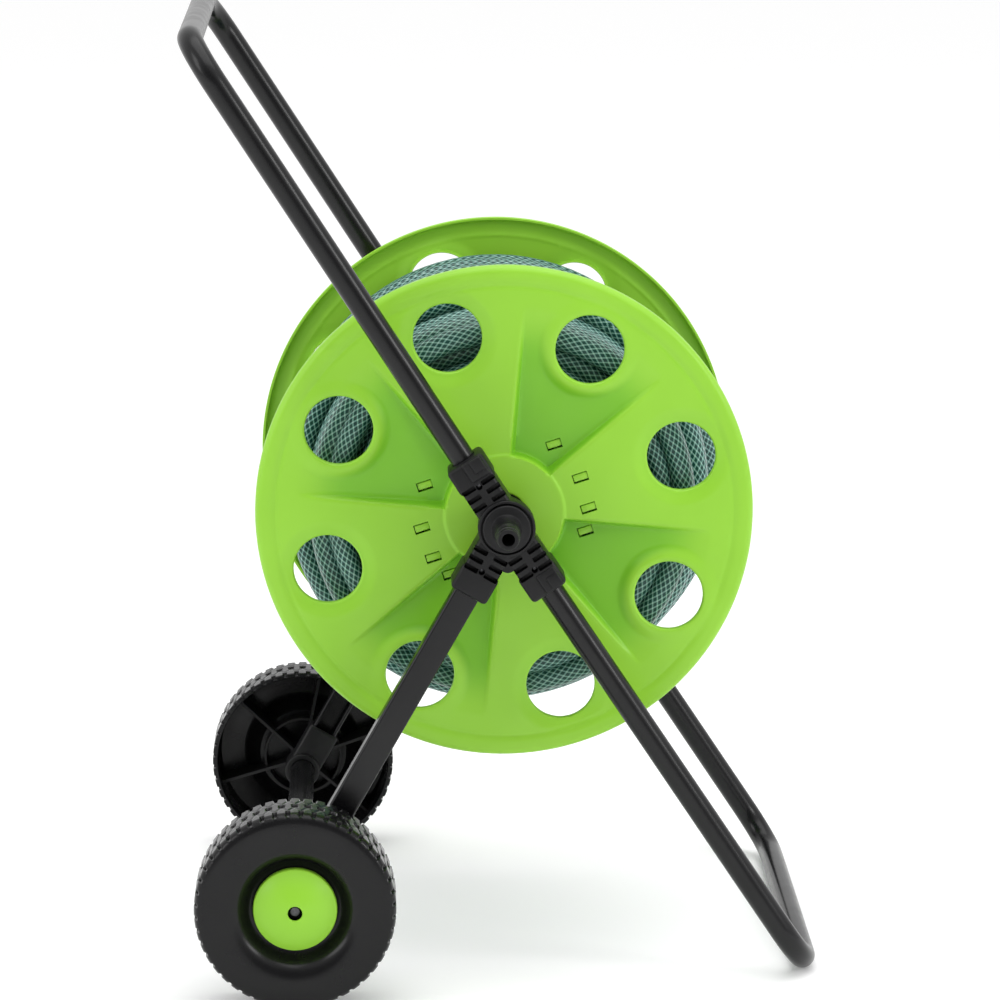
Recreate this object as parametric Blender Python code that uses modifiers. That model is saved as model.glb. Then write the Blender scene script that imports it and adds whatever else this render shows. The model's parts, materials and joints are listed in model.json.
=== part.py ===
"""Garden hose reel cart: a tube-framed cart on two wheels that carries a hose drum.

Metres, +Z up. The drum's axle and the wheels' axle run along Y. The water inlet is on the -Y
side ("near") and the crank on the +Y side ("far"); the wheels are at -X and the foot bar at +X.
Sizes below are in the cart's own frame: X = 0 at the wheel axle, Y = 0 half way between the drum
flanges, Z = 0 on the ground. The empty "cart" moves that frame to the middle of the footprint.
"""
from math import acos, cos, pi, radians, sin, tan

import bmesh
import bpy
from mathutils import Matrix, Vector

# ------------------------------------------------------------------ driving dimensions
GAP = 0.0003                      # left between pieces that touch

TUBE_R = 0.009                    # 18 mm steel tube
TUBE_WALL = 0.0012
BEND_R = 0.035                    # centre-line radius of the tube corners
BEND_STEPS = 5
FRAME_Y = 0.1725                  # middle of the tubes, either side of the drum

HUB_X = 0.1515                    # the drum's axle
HUB_Z = 0.339
HANDLE_ANGLE = radians(57.1)      # handle legs above the horizontal, leaning to -X
HANDLE_REACH = 0.4095             # drum axle to handle bar, along the leg
FOOT_ANGLE = radians(56.4)        # foot legs below the horizontal, leaning to +X

WHEEL_R = 0.072
WHEEL_INNER_Y = 0.194             # the wheel's inner edge; its hub also ends here
WHEEL_BORE_R = 0.0043
CAP_FACE = 0.2435                 # the hub cap's outermost point, from the middle of the drum
AXLE_SLEEVE_R = 0.0095
AXLE_SLEEVE_END = 0.190
ROD_R = 0.004
ROD_END = 0.2375

STRUT_WIDTH = 0.0194
STRUT_DEPTH = 0.014
STRUT_WALL = 0.0025
STRUT_CORNER = 0.002

COLLAR_FLOOR = 0.0165             # wheel axle to the bottom of the collar's strut pocket
COLLAR_REACH = 0.036
COLLAR_R = 0.0135
COLLAR_HALF = 0.0125
COLLAR_STUB = (0.0246, 0.019)     # the pocket's outside, across and along the axle

BRACKET_BOSS_R = 0.0205
BRACKET_BOSS_START = 0.176        # the boss is narrower from here in
BEARING_R = 0.0155
BRACKET_ARM_R = 0.0142
BRACKET_REACH = 0.056             # drum axle to a socket's mouth
SOCKET_FLOOR = 0.0235             # drum axle to a socket's bottom
BRACKET_INNER = 0.144
BRACKET_OUTER = 0.1915
RECESS_R = 0.0185                 # round recess in the boss for a fitting's flange
RECESS_FLOOR = 0.187
BORE_R = 0.0131
SCREW_AT = 0.036                  # drum axle to a socket's screw
SCREW_HEAD_Y = 0.1858             # the screw heads' outermost point
HEAD_HOLE_R = 0.0034
HEAD_SEAT_Y = 0.1829
PILOT_R = 0.0018
PILOT_SIDES = 12
TUBE_PILOT = (0.176, 0.184)       # where a pilot hole starts and ends, across the drum

FLANGE_R = 0.180
FLANGE_OUTER = 0.133
FLANGE_INNER = 0.130
PAD_R = 0.0435
PAD_FACE = 0.137
FLANGE_BORE_R = 0.0155
HOLE_COUNT = 8
HOLE_R = 0.0248
HOLE_AT = 0.134
REEL_PHASE = radians(-4.7)        # how far the drum has been turned at rest

CORE_R = 0.060
CORE_WALL = 0.0025
CORE_END = FLANGE_INNER - 0.0005
CLIP_AXIS = radians(112.5)        # the core's joint line, before the drum is turned
CLIP_ANGLES = tuple(radians(a) for a in (54, 82, 104, 122))
CLIP_SIZE = (0.0060, 0.0064)      # along the way that the core's halves part, and across it
CLIP_HOOK = (0.0090, 0.0060)
CLIP_SLOT = (0.0112, 0.0070)
CLIP_AT = 0.0606

HOSE_R = 0.00875
WINDING_R = 0.154
WINDING_HALF = 0.120
ELBOW_AT = 0.0953                 # the elbow's arm, from the middle of the drum
ELBOW_ANGLE = radians(80)         # the arm; its outlet is a quarter turn on, along the winding
ELBOW_OFFSET = 0.034              # drum axle to the outlet's line
ELBOW_R = 0.0152
BRANCH_R = 0.009
BRANCH_BORE_R = 0.0055
OUTLET_END = 0.022
NUT_ENDS = (0.012, 0.030)         # along the outlet
WINDOW_R = 0.0105                 # the core's window, where the bending hose comes out
WINDOW_AT = (0.0295, 0.0508)      # its middle, along the arm and along the outlet
WINDOW_TURN = radians(24.6)       # how far the hose has bent there
WINDOW_REACH = 0.024
CONNECTOR_ANGLE = radians(-64)    # the hose's end connector lies on the winding
CONNECTOR_AT = 0.1656
CONNECTOR_Y = 0.050

CRANK_REACH = 0.110
CRANK_INNER = 0.2030
CRANK_OUTER = 0.2180
CRANK_HUB_R = 0.015
CRANK_TIP_R = 0.011
SQUARE = 0.0130                   # across the spindle's square end
KNOB_END = 0.2965
PIN_END = 0.2995

ROUND = 32                        # sides of a large turned piece
SMALL = 16                        # sides of a small one
BORE = 24                         # sides of a bore, more than those of what turns in it
SIDES = {"near": -1, "far": 1}

# the cart's footprint, from the handle bar to the foot bar and from hub cap to crank pin
HUB = Vector((HUB_X, 0, HUB_Z))
AXLE = Vector((0, 0, WHEEL_R))
HANDLE_DIR = Vector((-cos(HANDLE_ANGLE), 0, sin(HANDLE_ANGLE)))
FOOT_DIR = Vector((cos(FOOT_ANGLE), 0, -sin(FOOT_ANGLE)))
FOOT_REACH = (HUB_Z - TUBE_R) / sin(FOOT_ANGLE)
STRUT_DIR = (AXLE - HUB).normalized()
HANDLE_BAR = HUB + HANDLE_DIR * HANDLE_REACH
FOOT_BAR = HUB + FOOT_DIR * FOOT_REACH
CENTRE_X = (HANDLE_BAR.x - TUBE_R + FOOT_BAR.x + TUBE_R) / 2
CENTRE_Y = (PIN_END - CAP_FACE) / 2

COLOURS = {                       # base colour, roughness, metallic
    "black_tube": ((0.018, 0.018, 0.020), 0.28, 0.0),
    "black_plastic": ((0.020, 0.020, 0.021), 0.45, 0.0),
    "wheel_plastic": ((0.022, 0.022, 0.023), 0.50, 0.0),
    "green_plastic": ((0.22, 0.62, 0.06), 0.40, 0.0),
    "steel": ((0.55, 0.55, 0.56), 0.30, 1.0),
    "seal_rubber": ((0.015, 0.015, 0.015), 0.70, 0.0),
    "hose": ((0.02, 0.16, 0.12), 0.45, 0.0),
}

# ------------------------------------------------------------------ scene and helpers
for old in list(bpy.data.objects):
    bpy.data.objects.remove(old, do_unlink=True)

parts = bpy.data.collections.new("garden_hose_reel_cart")
cutters = bpy.data.collections.new("cutters")
for collection in (parts, cutters):
    bpy.context.scene.collection.children.link(collection)


def material(kind, name):
    """One Principled material for one part."""
    colour, roughness, metallic = COLOURS[kind]
    made = bpy.data.materials.new(name)
    made.use_nodes = True
    shader = made.node_tree.nodes["Principled BSDF"]
    shader.inputs["Base Color"].default_value = (*colour, 1)
    shader.inputs["Roughness"].default_value = roughness
    shader.inputs["Metallic"].default_value = metallic
    return made


def empty(name, location, parent=None):
    """A plain axes empty that carries one moving group."""
    made = bpy.data.objects.new(name, None)
    made.location = location
    made.parent = parent
    parts.objects.link(made)
    return made


def place(name, data, kind, parent, location=(0, 0, 0), matrix=None):
    """A named part with its own material, or a hidden cutter when kind is None."""
    made = bpy.data.objects.new(name, data)
    made.parent = parent
    if matrix is None:
        made.location = location
    else:
        made.matrix_local = matrix
    if kind is None:
        cutters.objects.link(made)
        made.hide_render = True
        made.display_type = "WIRE"
    else:
        data.materials.append(material(kind, name))
        parts.objects.link(made)
    return made


def aligned(start, direction):
    """A matrix that stands local Z on a direction at a point."""
    turn = Vector(direction).to_track_quat("Z", "Y").to_matrix().to_4x4()
    return Matrix.Translation(start) @ turn


def outward(side):
    """Local Z along -Y for the near side and +Y for the far side."""
    return Matrix.Rotation(-side * pi / 2, 4, "X")


def polar(angle, radius, y=0.0):
    """A point around a Y axis, at an angle above +X."""
    return Vector((radius * cos(angle), y, radius * sin(angle)))


def cylinder(radius, start, end, sides=BORE):
    """A closed round bar between two points."""
    start, end = Vector(start), Vector(end)
    bm = bmesh.new()
    middle = aligned((start + end) / 2, end - start)
    bmesh.ops.create_cone(
        bm, cap_ends=True, segments=sides, radius1=radius, radius2=radius,
        depth=(end - start).length, matrix=middle)
    return finished(bm, "cylinder")


def box(size, matrix):
    """A closed box of a size, centred on a matrix."""
    bm = bmesh.new()
    bmesh.ops.create_cube(bm, size=1.0, matrix=matrix @ Matrix.Diagonal((*size, 1)))
    return finished(bm, "box")


def finished(bm, name):
    """A bmesh as mesh data."""
    mesh = bpy.data.meshes.new(name)
    bm.to_mesh(mesh)
    bm.free()
    return mesh


def smooth(data, angle=40):
    """Shades a mesh smooth but for its sharp edges."""
    data.shade_smooth()
    data.set_sharp_from_angle(angle=radians(angle))


def turned(name, profile, kind, parent, matrix, closed=True, steps=ROUND):
    """A (radius, height) profile turned about local Z. Its outer side runs top to bottom."""
    bm = bmesh.new()
    points = [bm.verts.new((r, 0, h)) for r, h in profile]
    for a, b in zip(points, points[1:] + points[:1] if closed else points[1:]):
        bm.edges.new((a, b))
    made = place(name, finished(bm, name), kind, parent, matrix=matrix)
    screw = made.modifiers.new("turn", "SCREW")
    screw.axis = "Z"
    screw.steps = steps
    screw.render_steps = steps
    screw.use_merge_vertices = True
    screw.merge_threshold = 0.00001
    screw.use_smooth_shade = True
    return made


def boolean(target, tool, operation="DIFFERENCE"):
    """Cuts a part with a hidden solid, or joins one to it."""
    step = target.modifiers.new(operation.lower(), "BOOLEAN")
    step.operation = operation
    step.solver = "EXACT"
    step.object = tool


def cut(target, data, parent, operation="DIFFERENCE", **placing):
    """Uses mesh data as a tool on a part."""
    tool = place(f"tool_{target.name}_{len(target.modifiers)}", data, None, parent, **placing)
    boolean(target, tool, operation)


def merged(meshes):
    """Several closed solids that don't touch, as one tool's mesh."""
    bm = bmesh.new()
    for mesh in meshes:
        bm.from_mesh(mesh)
        bpy.data.meshes.remove(mesh)
    return finished(bm, "tools")


def as_mesh(curve_object):
    """The closed mesh that a curve object draws, with its caps welded."""
    graph = bpy.context.evaluated_depsgraph_get()
    mesh = bpy.data.meshes.new_from_object(curve_object.evaluated_get(graph))
    bm = bmesh.new()
    bm.from_mesh(mesh)
    bmesh.ops.remove_doubles(bm, verts=bm.verts, dist=0.00001)
    bm.to_mesh(mesh)
    bm.free()
    mesh.materials.clear()
    bpy.data.objects.remove(curve_object, do_unlink=True)
    return mesh


def rounded_path(corners, radius, steps):
    """Straight runs between corners, each inner corner an arc of the radius."""
    path = [Vector(corners[0])]
    for before, here, after in zip(corners, corners[1:], corners[2:]):
        back = (Vector(before) - here).normalized()
        ahead = (Vector(after) - here).normalized()
        half = acos(max(-1, min(1, back.dot(ahead)))) / 2
        centre = Vector(here) + (back + ahead).normalized() * (radius / sin(half))
        start = Vector(here) + back * (radius / tan(half)) - centre
        end = Vector(here) + ahead * (radius / tan(half)) - centre
        sweep = start.angle(end)
        for i in range(steps + 1):
            t = i / steps
            weight_a = sin((1 - t) * sweep) / sin(sweep)
            weight_b = sin(t * sweep) / sin(sweep)
            path.append(centre + start * weight_a + end * weight_b)
    path.append(Vector(corners[-1]))
    return path


def hollow_tube(path, radius, wall):
    """The mesh of a bent tube with open ends."""
    data = bpy.data.curves.new("tube", "CURVE")
    data.dimensions = "3D"
    data.bevel_depth = radius
    data.bevel_resolution = 4
    spline = data.splines.new("POLY")
    spline.points.add(len(path) - 1)
    for point, place_at in zip(spline.points, path):
        point.co = (*place_at, 1)
    made = bpy.data.objects.new("tube", data)
    cutters.objects.link(made)
    shell = made.modifiers.new("wall", "SOLIDIFY")
    shell.thickness = wall
    shell.offset = -1
    shell.use_even_offset = True
    mesh = as_mesh(made)
    smooth(mesh)
    return mesh


def plate(outline, thickness):
    """A flat outline in XY made a closed plate about z = 0."""
    data = bpy.data.curves.new("outline", "CURVE")
    data.dimensions = "2D"
    data.fill_mode = "BOTH"
    data.extrude = thickness / 2
    spline = data.splines.new("POLY")
    spline.points.add(len(outline) - 1)
    for point, (x, y) in zip(spline.points, outline):
        point.co = (x, y, 0, 1)
    spline.use_cyclic_u = True
    made = bpy.data.objects.new("outline", data)
    cutters.objects.link(made)
    return as_mesh(made)


def arc(centre, radius, start, end, steps):
    """Points along an arc in XY, angles in radians."""
    turns = [start + (end - start) * i / steps for i in range(steps + 1)]
    return [(centre[0] + radius * cos(a), centre[1] + radius * sin(a)) for a in turns]


# ------------------------------------------------------------------ the groups' empties
cart = empty("cart", (-CENTRE_X, -CENTRE_Y, 0))
reel = empty("reel_axis", HUB, cart)
knob_axis = empty("knob_axis", (0, 0, -CRANK_REACH), reel)
wheel_axis = {side: empty(f"wheel_axis_{side}", AXLE, cart) for side in SIDES}


# ------------------------------------------------------------------ the frame
def pilot_hole(direction, side):
    """The hole for a socket's screw, from the drum's axle as centre."""
    ends = [direction * SCREW_AT + Vector((0, side * s, 0)) for s in TUBE_PILOT]
    return cylinder(PILOT_R, *ends, PILOT_SIDES)


def frame_tube(name, direction, reach):
    """A U of tube from one bracket socket, round the bar, to the other bracket's socket."""
    near, far = Vector((0, -FRAME_Y, 0)), Vector((0, FRAME_Y, 0))
    start = HUB + direction * (SOCKET_FLOOR + GAP)
    bar = HUB + direction * reach
    path = rounded_path([start + near, bar + near, bar + far, start + far], BEND_R, BEND_STEPS)
    tube = place(name, hollow_tube(path, TUBE_R, TUBE_WALL), "black_tube", cart)
    for side in SIDES.values():
        cut(tube, pilot_hole(direction, side), cart, location=HUB)


def strut_frame(side):
    """Local Z down the strut, local Y towards the drum, at the drum axle's height."""
    inward = Vector((0, -side, 0))
    across = inward.cross(STRUT_DIR)
    turn = Matrix((across, inward, STRUT_DIR)).transposed().to_4x4()
    return Matrix.Translation(HUB + Vector((0, side * FRAME_Y, 0))) @ turn


def rear_strut(name, side):
    """A channel with a flat outer face, open towards the drum."""
    half_w, half_d, inner_w = STRUT_WIDTH / 2, STRUT_DEPTH / 2, STRUT_WIDTH / 2 - STRUT_WALL
    corner_x, corner_y = half_w - STRUT_CORNER, STRUT_CORNER - half_d
    outline = arc((-corner_x, corner_y), STRUT_CORNER, pi, 1.5 * pi, 3)
    outline += arc((corner_x, corner_y), STRUT_CORNER, 1.5 * pi, 2 * pi, 3)
    outline += [(half_w, half_d), (inner_w, half_d), (inner_w, -half_d + STRUT_WALL)]
    outline += [(-inner_w, -half_d + STRUT_WALL), (-inner_w, half_d), (-half_w, half_d)]
    top = SOCKET_FLOOR + GAP
    bottom = (AXLE - HUB).length - COLLAR_FLOOR - GAP
    mesh = plate(outline, bottom - top)
    matrix = strut_frame(side) @ Matrix.Translation((0, 0, (top + bottom) / 2))
    strut = place(name, mesh, "black_tube", cart, matrix=matrix)
    cut(strut, pilot_hole(STRUT_DIR, side), cart, location=HUB)


def axle_collar(name, side):
    """A ring on the axle sleeve with a pocket for the strut's foot."""
    middle = Vector((0, side * FRAME_Y, 0))
    half = Vector((0, COLLAR_HALF, 0))
    collar = place(name, cylinder(COLLAR_R, middle - half, middle + half), "black_plastic", cart, AXLE)
    stub_end = (AXLE - HUB).length - COLLAR_REACH
    stub_start = (AXLE - HUB).length - 0.004
    stub_middle = strut_frame(side) @ Matrix.Translation((0, 0, (stub_end + stub_start) / 2))
    stub = box((*COLLAR_STUB, stub_start - stub_end), Matrix.Identity(4))
    cut(collar, stub, cart, "UNION", matrix=stub_middle)
    pocket_end = (AXLE - HUB).length - COLLAR_FLOOR
    pocket_length = pocket_end - stub_end + 0.002
    pocket = box((STRUT_WIDTH + 2 * GAP, STRUT_DEPTH + 2 * GAP, pocket_length), Matrix.Identity(4))
    pocket_middle = Matrix.Translation((0, 0, pocket_end - pocket_length / 2))
    cut(collar, pocket, cart, matrix=strut_frame(side) @ pocket_middle)
    bore = cylinder(AXLE_SLEEVE_R + GAP, AXLE + middle - 2 * half, AXLE + middle + 2 * half)
    cut(collar, bore, cart)
    smooth(collar.data)


def hub_bracket(name, side):
    """The moulded Y that holds the two tubes and the strut, with a bore on the drum's axle."""
    def at(s):
        return Vector((0, side * s, 0))

    middle = at(FRAME_Y)
    body = cylinder(BRACKET_BOSS_R, at(BRACKET_BOSS_START), at(BRACKET_OUTER), ROUND)
    bracket = place(name, body, "black_plastic", cart, HUB)
    cut(bracket, cylinder(BEARING_R, at(BRACKET_INNER), at(0.180), ROUND), cart, "UNION", location=HUB)
    for direction in (HANDLE_DIR, FOOT_DIR, STRUT_DIR):
        arm = cylinder(BRACKET_ARM_R, middle, middle + direction * BRACKET_REACH, SMALL)
        cut(bracket, arm, cart, "UNION", location=HUB)
    for direction in (HANDLE_DIR, FOOT_DIR):
        floor, mouth = direction * SOCKET_FLOOR, direction * (BRACKET_REACH + 0.001)
        cut(bracket, cylinder(TUBE_R + GAP, middle + floor, middle + mouth), cart, location=HUB)
    pocket = box(
        (STRUT_WIDTH + 2 * GAP, STRUT_DEPTH + 2 * GAP, BRACKET_REACH + 0.001 - SOCKET_FLOOR),
        Matrix.Translation((0, 0, (BRACKET_REACH + 0.001 + SOCKET_FLOOR) / 2)))
    cut(bracket, pocket, cart, matrix=strut_frame(side))
    cut(bracket, cylinder(BORE_R, at(0.140), at(0.200)), cart, location=HUB)
    cut(bracket, cylinder(RECESS_R, at(RECESS_FLOOR), at(0.200), ROUND), cart, location=HUB)
    for direction in (HANDLE_DIR, FOOT_DIR, STRUT_DIR):
        spot = direction * SCREW_AT
        head_hole = cylinder(HEAD_HOLE_R, at(HEAD_SEAT_Y) + spot, at(0.190) + spot, PILOT_SIDES)
        cut(bracket, head_hole, cart, location=HUB)
        cut(bracket, pilot_hole(direction, side), cart, location=HUB)
    smooth(bracket.data)


def socket_screw(name, side, direction):
    """A self-tapping screw through a socket's wall into its tube."""
    head = [(0, SCREW_HEAD_Y), (0.0022, SCREW_HEAD_Y), (0.0030, 0.1850), (0.0030, 0.1834)]
    shank = [(0.0014, 0.1832), (0.0014, 0.1770), (0, 0.1762)]
    spot = Matrix.Translation(HUB + direction * SCREW_AT)
    turned(name, head + shank, "steel", cart, spot @ outward(side), closed=False, steps=PILOT_SIDES)


frame_tube("handle_tube", HANDLE_DIR, HANDLE_REACH)
frame_tube("foot_tube", FOOT_DIR, FOOT_REACH)
for label, side in SIDES.items():
    rear_strut(f"rear_strut_{label}", side)
    axle_collar(f"axle_collar_{label}", side)
    hub_bracket(f"hub_bracket_{label}", side)
    socket_screw(f"handle_screw_{label}", side, HANDLE_DIR)
    socket_screw(f"foot_screw_{label}", side, FOOT_DIR)
    socket_screw(f"strut_screw_{label}", side, STRUT_DIR)

# ------------------------------------------------------------------ axle and wheels
axle_ends = Vector((0, AXLE_SLEEVE_END, 0))
place("axle_sleeve", hollow_tube([AXLE - axle_ends, AXLE + axle_ends], AXLE_SLEEVE_R, TUBE_WALL),
      "black_tube", cart)
rod_ends = Vector((0, ROD_END, 0))
rod = place("axle_rod", cylinder(ROD_R, -rod_ends, rod_ends, SMALL), "steel", cart, AXLE)
smooth(rod.data)

ON_ROD_R = ROD_R + GAP
PLUG_R = AXLE_SLEEVE_R - TUBE_WALL - 0.0004
PLUG_PROFILE = [(ON_ROD_R, AXLE_SLEEVE_END), (PLUG_R, AXLE_SLEEVE_END), (PLUG_R, 0.168), (ON_ROD_R, 0.168)]
WASHER_PROFILE = [(ON_ROD_R, 0.1935), (0.009, 0.1935), (0.009, 0.1915), (ON_ROD_R, 0.1915)]
PUSH_NUT_PROFILE = [(ON_ROD_R, 0.2358), (0.0060, 0.2353), (0.0085, 0.2334), (ON_ROD_R, 0.2334)]


def wheel_profile():
    """The moulded wheel: tread, bulged sidewall, dish, web and hub; open on the inner side."""
    outside = [(WHEEL_BORE_R, 0.039), (0.0095, 0.039), (0.0105, 0.033), (0.0330, 0.033)]
    outside += [(0.0385, 0.0400), (0.0490, 0.0455), (0.0620, 0.0458), (0.0705, 0.0425), (WHEEL_R, 0.0400)]
    inside = [(WHEEL_R, 0.0), (0.0680, 0.0), (0.0680, 0.0395), (0.0480, 0.0425)]
    inside += [(0.0350, 0.0300), (0.0105, 0.0300), (0.0095, 0.0), (WHEEL_BORE_R, 0.0)]
    return [(r, WHEEL_INNER_Y + s) for r, s in outside + inside]


def cap_profile():
    """The domed hub cap, with a skirt down to the web and a hole for the rod's end."""
    dome = [(0.0052, CAP_FACE), (0.0120, 0.2422), (0.0180, 0.2401), (0.0235, 0.2374)]
    dome += [(0.0275, 0.2346), (0.0300, 0.2325), (0.0300, 0.2273)]
    under = [(0.0278, 0.2273), (0.0278, 0.2310), (0.0200, 0.2364), (0.0130, 0.2393), (0.0052, 0.2409)]
    return dome + under


for label, side in SIDES.items():
    on_axle = Matrix.Translation(AXLE) @ outward(side)
    turned(f"sleeve_plug_{label}", PLUG_PROFILE, "black_plastic", cart, on_axle, steps=SMALL)
    turned(f"wheel_washer_{label}", WASHER_PROFILE, "steel", cart, on_axle, steps=SMALL)
    turned(f"push_nut_{label}", PUSH_NUT_PROFILE, "steel", cart, on_axle, steps=SMALL)
    turned(f"wheel_{label}", wheel_profile(), "wheel_plastic", wheel_axis[label], outward(side))
    turned(f"hub_cap_{label}", cap_profile(), "green_plastic", wheel_axis[label], outward(side), steps=SMALL)

# ------------------------------------------------------------------ inlet and bearing on the frame
at_hub = Matrix.Translation(HUB)
INLET_PROFILE = [
    (0.0046, 0.2296), (0.0070, 0.2296), (0.0077, 0.2288), (0.0077, 0.2250), (0.0062, 0.2248),
    (0.0062, 0.2222), (0.0077, 0.2220), (0.0077, 0.2165), (0.0089, 0.2140), (0.0089, 0.2065),
    (0.0077, 0.2050), (0.0077, 0.2035), (0.0092, 0.2000), (0.0105, 0.1930), (0.0172, 0.1930),
    (0.0172, RECESS_FLOOR + GAP), (0.0128, RECESS_FLOOR + GAP), (0.0128, 0.1446), (0.0105, 0.1446),
    (0.0105, 0.1384), (0.0092, 0.1384), (0.0092, 0.1142), (0.0072, 0.1142), (0.0072, 0.1108),
    (0.0092, 0.1108), (0.0092, 0.1025), (0.0046, 0.1025)]
turned("water_inlet", INLET_PROFILE, "black_plastic", cart, at_hub @ outward(-1), steps=SMALL)
LOCK_NUT_PROFILE = [(0.0109, 0.1436), (0.0148, 0.1436), (0.0148, 0.1388), (0.0109, 0.1388)]
turned("inlet_lock_nut", LOCK_NUT_PROFILE, "black_plastic", cart, at_hub @ outward(-1), steps=SMALL)
BUSH_PROFILE = [
    (0.0095, 0.1930), (0.0172, 0.1930), (0.0172, RECESS_FLOOR + GAP), (0.0128, RECESS_FLOOR + GAP),
    (0.0128, BRACKET_INNER), (0.0095, BRACKET_INNER)]
turned("spindle_bush", BUSH_PROFILE, "black_plastic", cart, at_hub @ outward(1), steps=SMALL)


def seal_ring(name, parent, matrix, radius, thickness, height):
    """An O-ring round local Z."""
    turns = [2 * pi * i / 6 for i in range(6)]
    circle = [(radius + thickness * cos(a), height - thickness * sin(a)) for a in turns]
    turned(name, circle, "seal_rubber", parent, matrix, steps=SMALL)


seal_ring("nipple_seal", cart, at_hub @ outward(-1), 0.0074, 0.0009, 0.2235)
seal_ring("swivel_seal", cart, at_hub @ outward(-1), 0.0085, 0.0009, 0.1125)


# ------------------------------------------------------------------ the drum
def clip_turns():
    """The angles of the core's clips, either side of its joint line."""
    middle = CLIP_AXIS + REEL_PHASE
    return [middle + sign * a for sign in (-1, 1) for a in CLIP_ANGLES]


def clip_box(angle, size, low, high, side):
    """A box on the core's wall, its length along the way that the halves part, from low to high."""
    spot = Matrix.Translation(polar(angle, CLIP_AT, side * (low + high) / 2))
    turn = Matrix.Rotation(pi / 2 - CLIP_AXIS - REEL_PHASE, 4, "Y")
    return box((size[0], high - low, size[1]), spot @ turn)


def flange(name, side):
    """A pressed-looking moulded disc with hand holes, a centre pad and slots for the core's clips."""
    profile = [(FLANGE_BORE_R, PAD_FACE), (PAD_R - 0.001, PAD_FACE), (PAD_R + 0.001, FLANGE_OUTER)]
    profile += [(0.1780, FLANGE_OUTER + 0.001), (FLANGE_R, FLANGE_OUTER), (FLANGE_R, 0.124)]
    profile += [(0.1775, 0.124), (0.1775, FLANGE_INNER), (PAD_R, FLANGE_INNER), (PAD_R - 0.003, 0.134)]
    profile += [(0.019, 0.134), (0.019, 0.105), (FLANGE_BORE_R, 0.105)]
    disc = turned(name, profile, "green_plastic", reel, outward(side))
    holes = []
    for i in range(HOLE_COUNT):
        centre = REEL_PHASE + (i + 0.5) * 2 * pi / HOLE_COUNT
        ends = [polar(centre, HOLE_AT, side * s) for s in (0.120, 0.140)]
        holes.append(cylinder(HOLE_R, *ends, SMALL))
    cut(disc, merged(holes), reel)
    slots = [clip_box(a, CLIP_SLOT, 0.125, 0.140, side) for a in clip_turns()]
    cut(disc, merged(slots), reel)


ARM = polar(ELBOW_ANGLE, 1)
OUTLET = polar(ELBOW_ANGLE - pi / 2, 1)


def outlet_point(along, offset=ELBOW_OFFSET):
    """A point along the elbow's outlet, at an offset from the drum's axle."""
    return ARM * offset + OUTLET * along + Vector((0, -ELBOW_AT, 0))


def core_shell(name, sign):
    """Half of the drum's core, with four hooked clips at each end."""
    middle = CLIP_AXIS + REEL_PHASE
    joint = GAP / CORE_R
    start, end = sorted((middle + sign * joint, middle + sign * (pi - joint)))
    outline = arc((0, 0), CORE_R, start, end, 16)
    outline += arc((0, 0), CORE_R - CORE_WALL, end, start, 16)
    stand = Matrix.Rotation(pi / 2, 4, "X")
    shell = place(name, plate(outline, 2 * CORE_END), "green_plastic", reel, matrix=stand)
    clips = []
    for side in SIDES.values():
        for angle in CLIP_ANGLES:
            turn = middle + sign * angle
            clips.append(clip_box(turn, CLIP_SIZE, 0.1208, 0.1342, side))
    cut(shell, merged(clips), reel, "UNION")
    hooks = []
    for side in SIDES.values():
        for angle in CLIP_ANGLES:
            turn = middle + sign * angle
            hooks.append(clip_box(turn, CLIP_HOOK, 0.1334, 0.1350, side))
    cut(shell, merged(hooks), reel, "UNION")
    if sign < 0:
        heading = OUTLET * cos(WINDOW_TURN) - ARM * sin(WINDOW_TURN)
        middle = outlet_point(WINDOW_AT[1], WINDOW_AT[0])
        ends = [middle + heading * reach for reach in (-WINDOW_REACH, WINDOW_REACH)]
        cut(shell, cylinder(WINDOW_R, *ends), reel)
    smooth(shell.data)


def swivel_elbow():
    """Turns with the drum on the inlet's spigot and sends the water out along the winding."""
    elbow = place("swivel_elbow", cylinder(ELBOW_R, (0, -0.084, 0), (0, -0.1367, 0)), "black_plastic", reel)
    axle_point = outlet_point(0, 0)
    cut(elbow, cylinder(BRANCH_R, axle_point, outlet_point(0)), reel, "UNION")
    cut(elbow, cylinder(BRANCH_R, outlet_point(-BRANCH_R), outlet_point(OUTLET_END)), reel, "UNION")
    cut(elbow, cylinder(BRANCH_BORE_R, axle_point - ARM * 0.002, outlet_point(0)), reel)
    cut(elbow, cylinder(BRANCH_BORE_R, outlet_point(-0.004), outlet_point(OUTLET_END + 0.001)), reel)
    cut(elbow, cylinder(0.0098, (0, -0.100, 0), (0, -0.138, 0)), reel)
    smooth(elbow.data)


flange("flange_near", -1)
flange("flange_far", 1)
core_shell("core_shell_front", -1)
core_shell("core_shell_back", 1)
swivel_elbow()

NUT_BORE_R = BRANCH_R + GAP
NUT_START, NUT_MOUTH = NUT_ENDS
HOSE_NUT_PROFILE = [
    (NUT_BORE_R, NUT_MOUTH), (0.0115, NUT_MOUTH), (0.0125, NUT_MOUTH - 0.001), (0.0125, NUT_START),
    (NUT_BORE_R, NUT_START)]
turned("hose_nut", HOSE_NUT_PROFILE, "black_plastic", reel, aligned(outlet_point(0), OUTLET), steps=SMALL)


def winding_profile():
    """The wound hose's outer shape: a thick ring with rounded edges."""
    corner = 0.008
    inner, outer, half = CORE_R + 2 * GAP, WINDING_R, WINDING_HALF
    profile = [(inner, half - corner), (inner + corner, half), (outer - corner, half), (outer, half - corner)]
    return profile + [(r, -s) for r, s in reversed(profile)]


turned("hose_winding", winding_profile(), "hose", reel, outward(-1))

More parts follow.
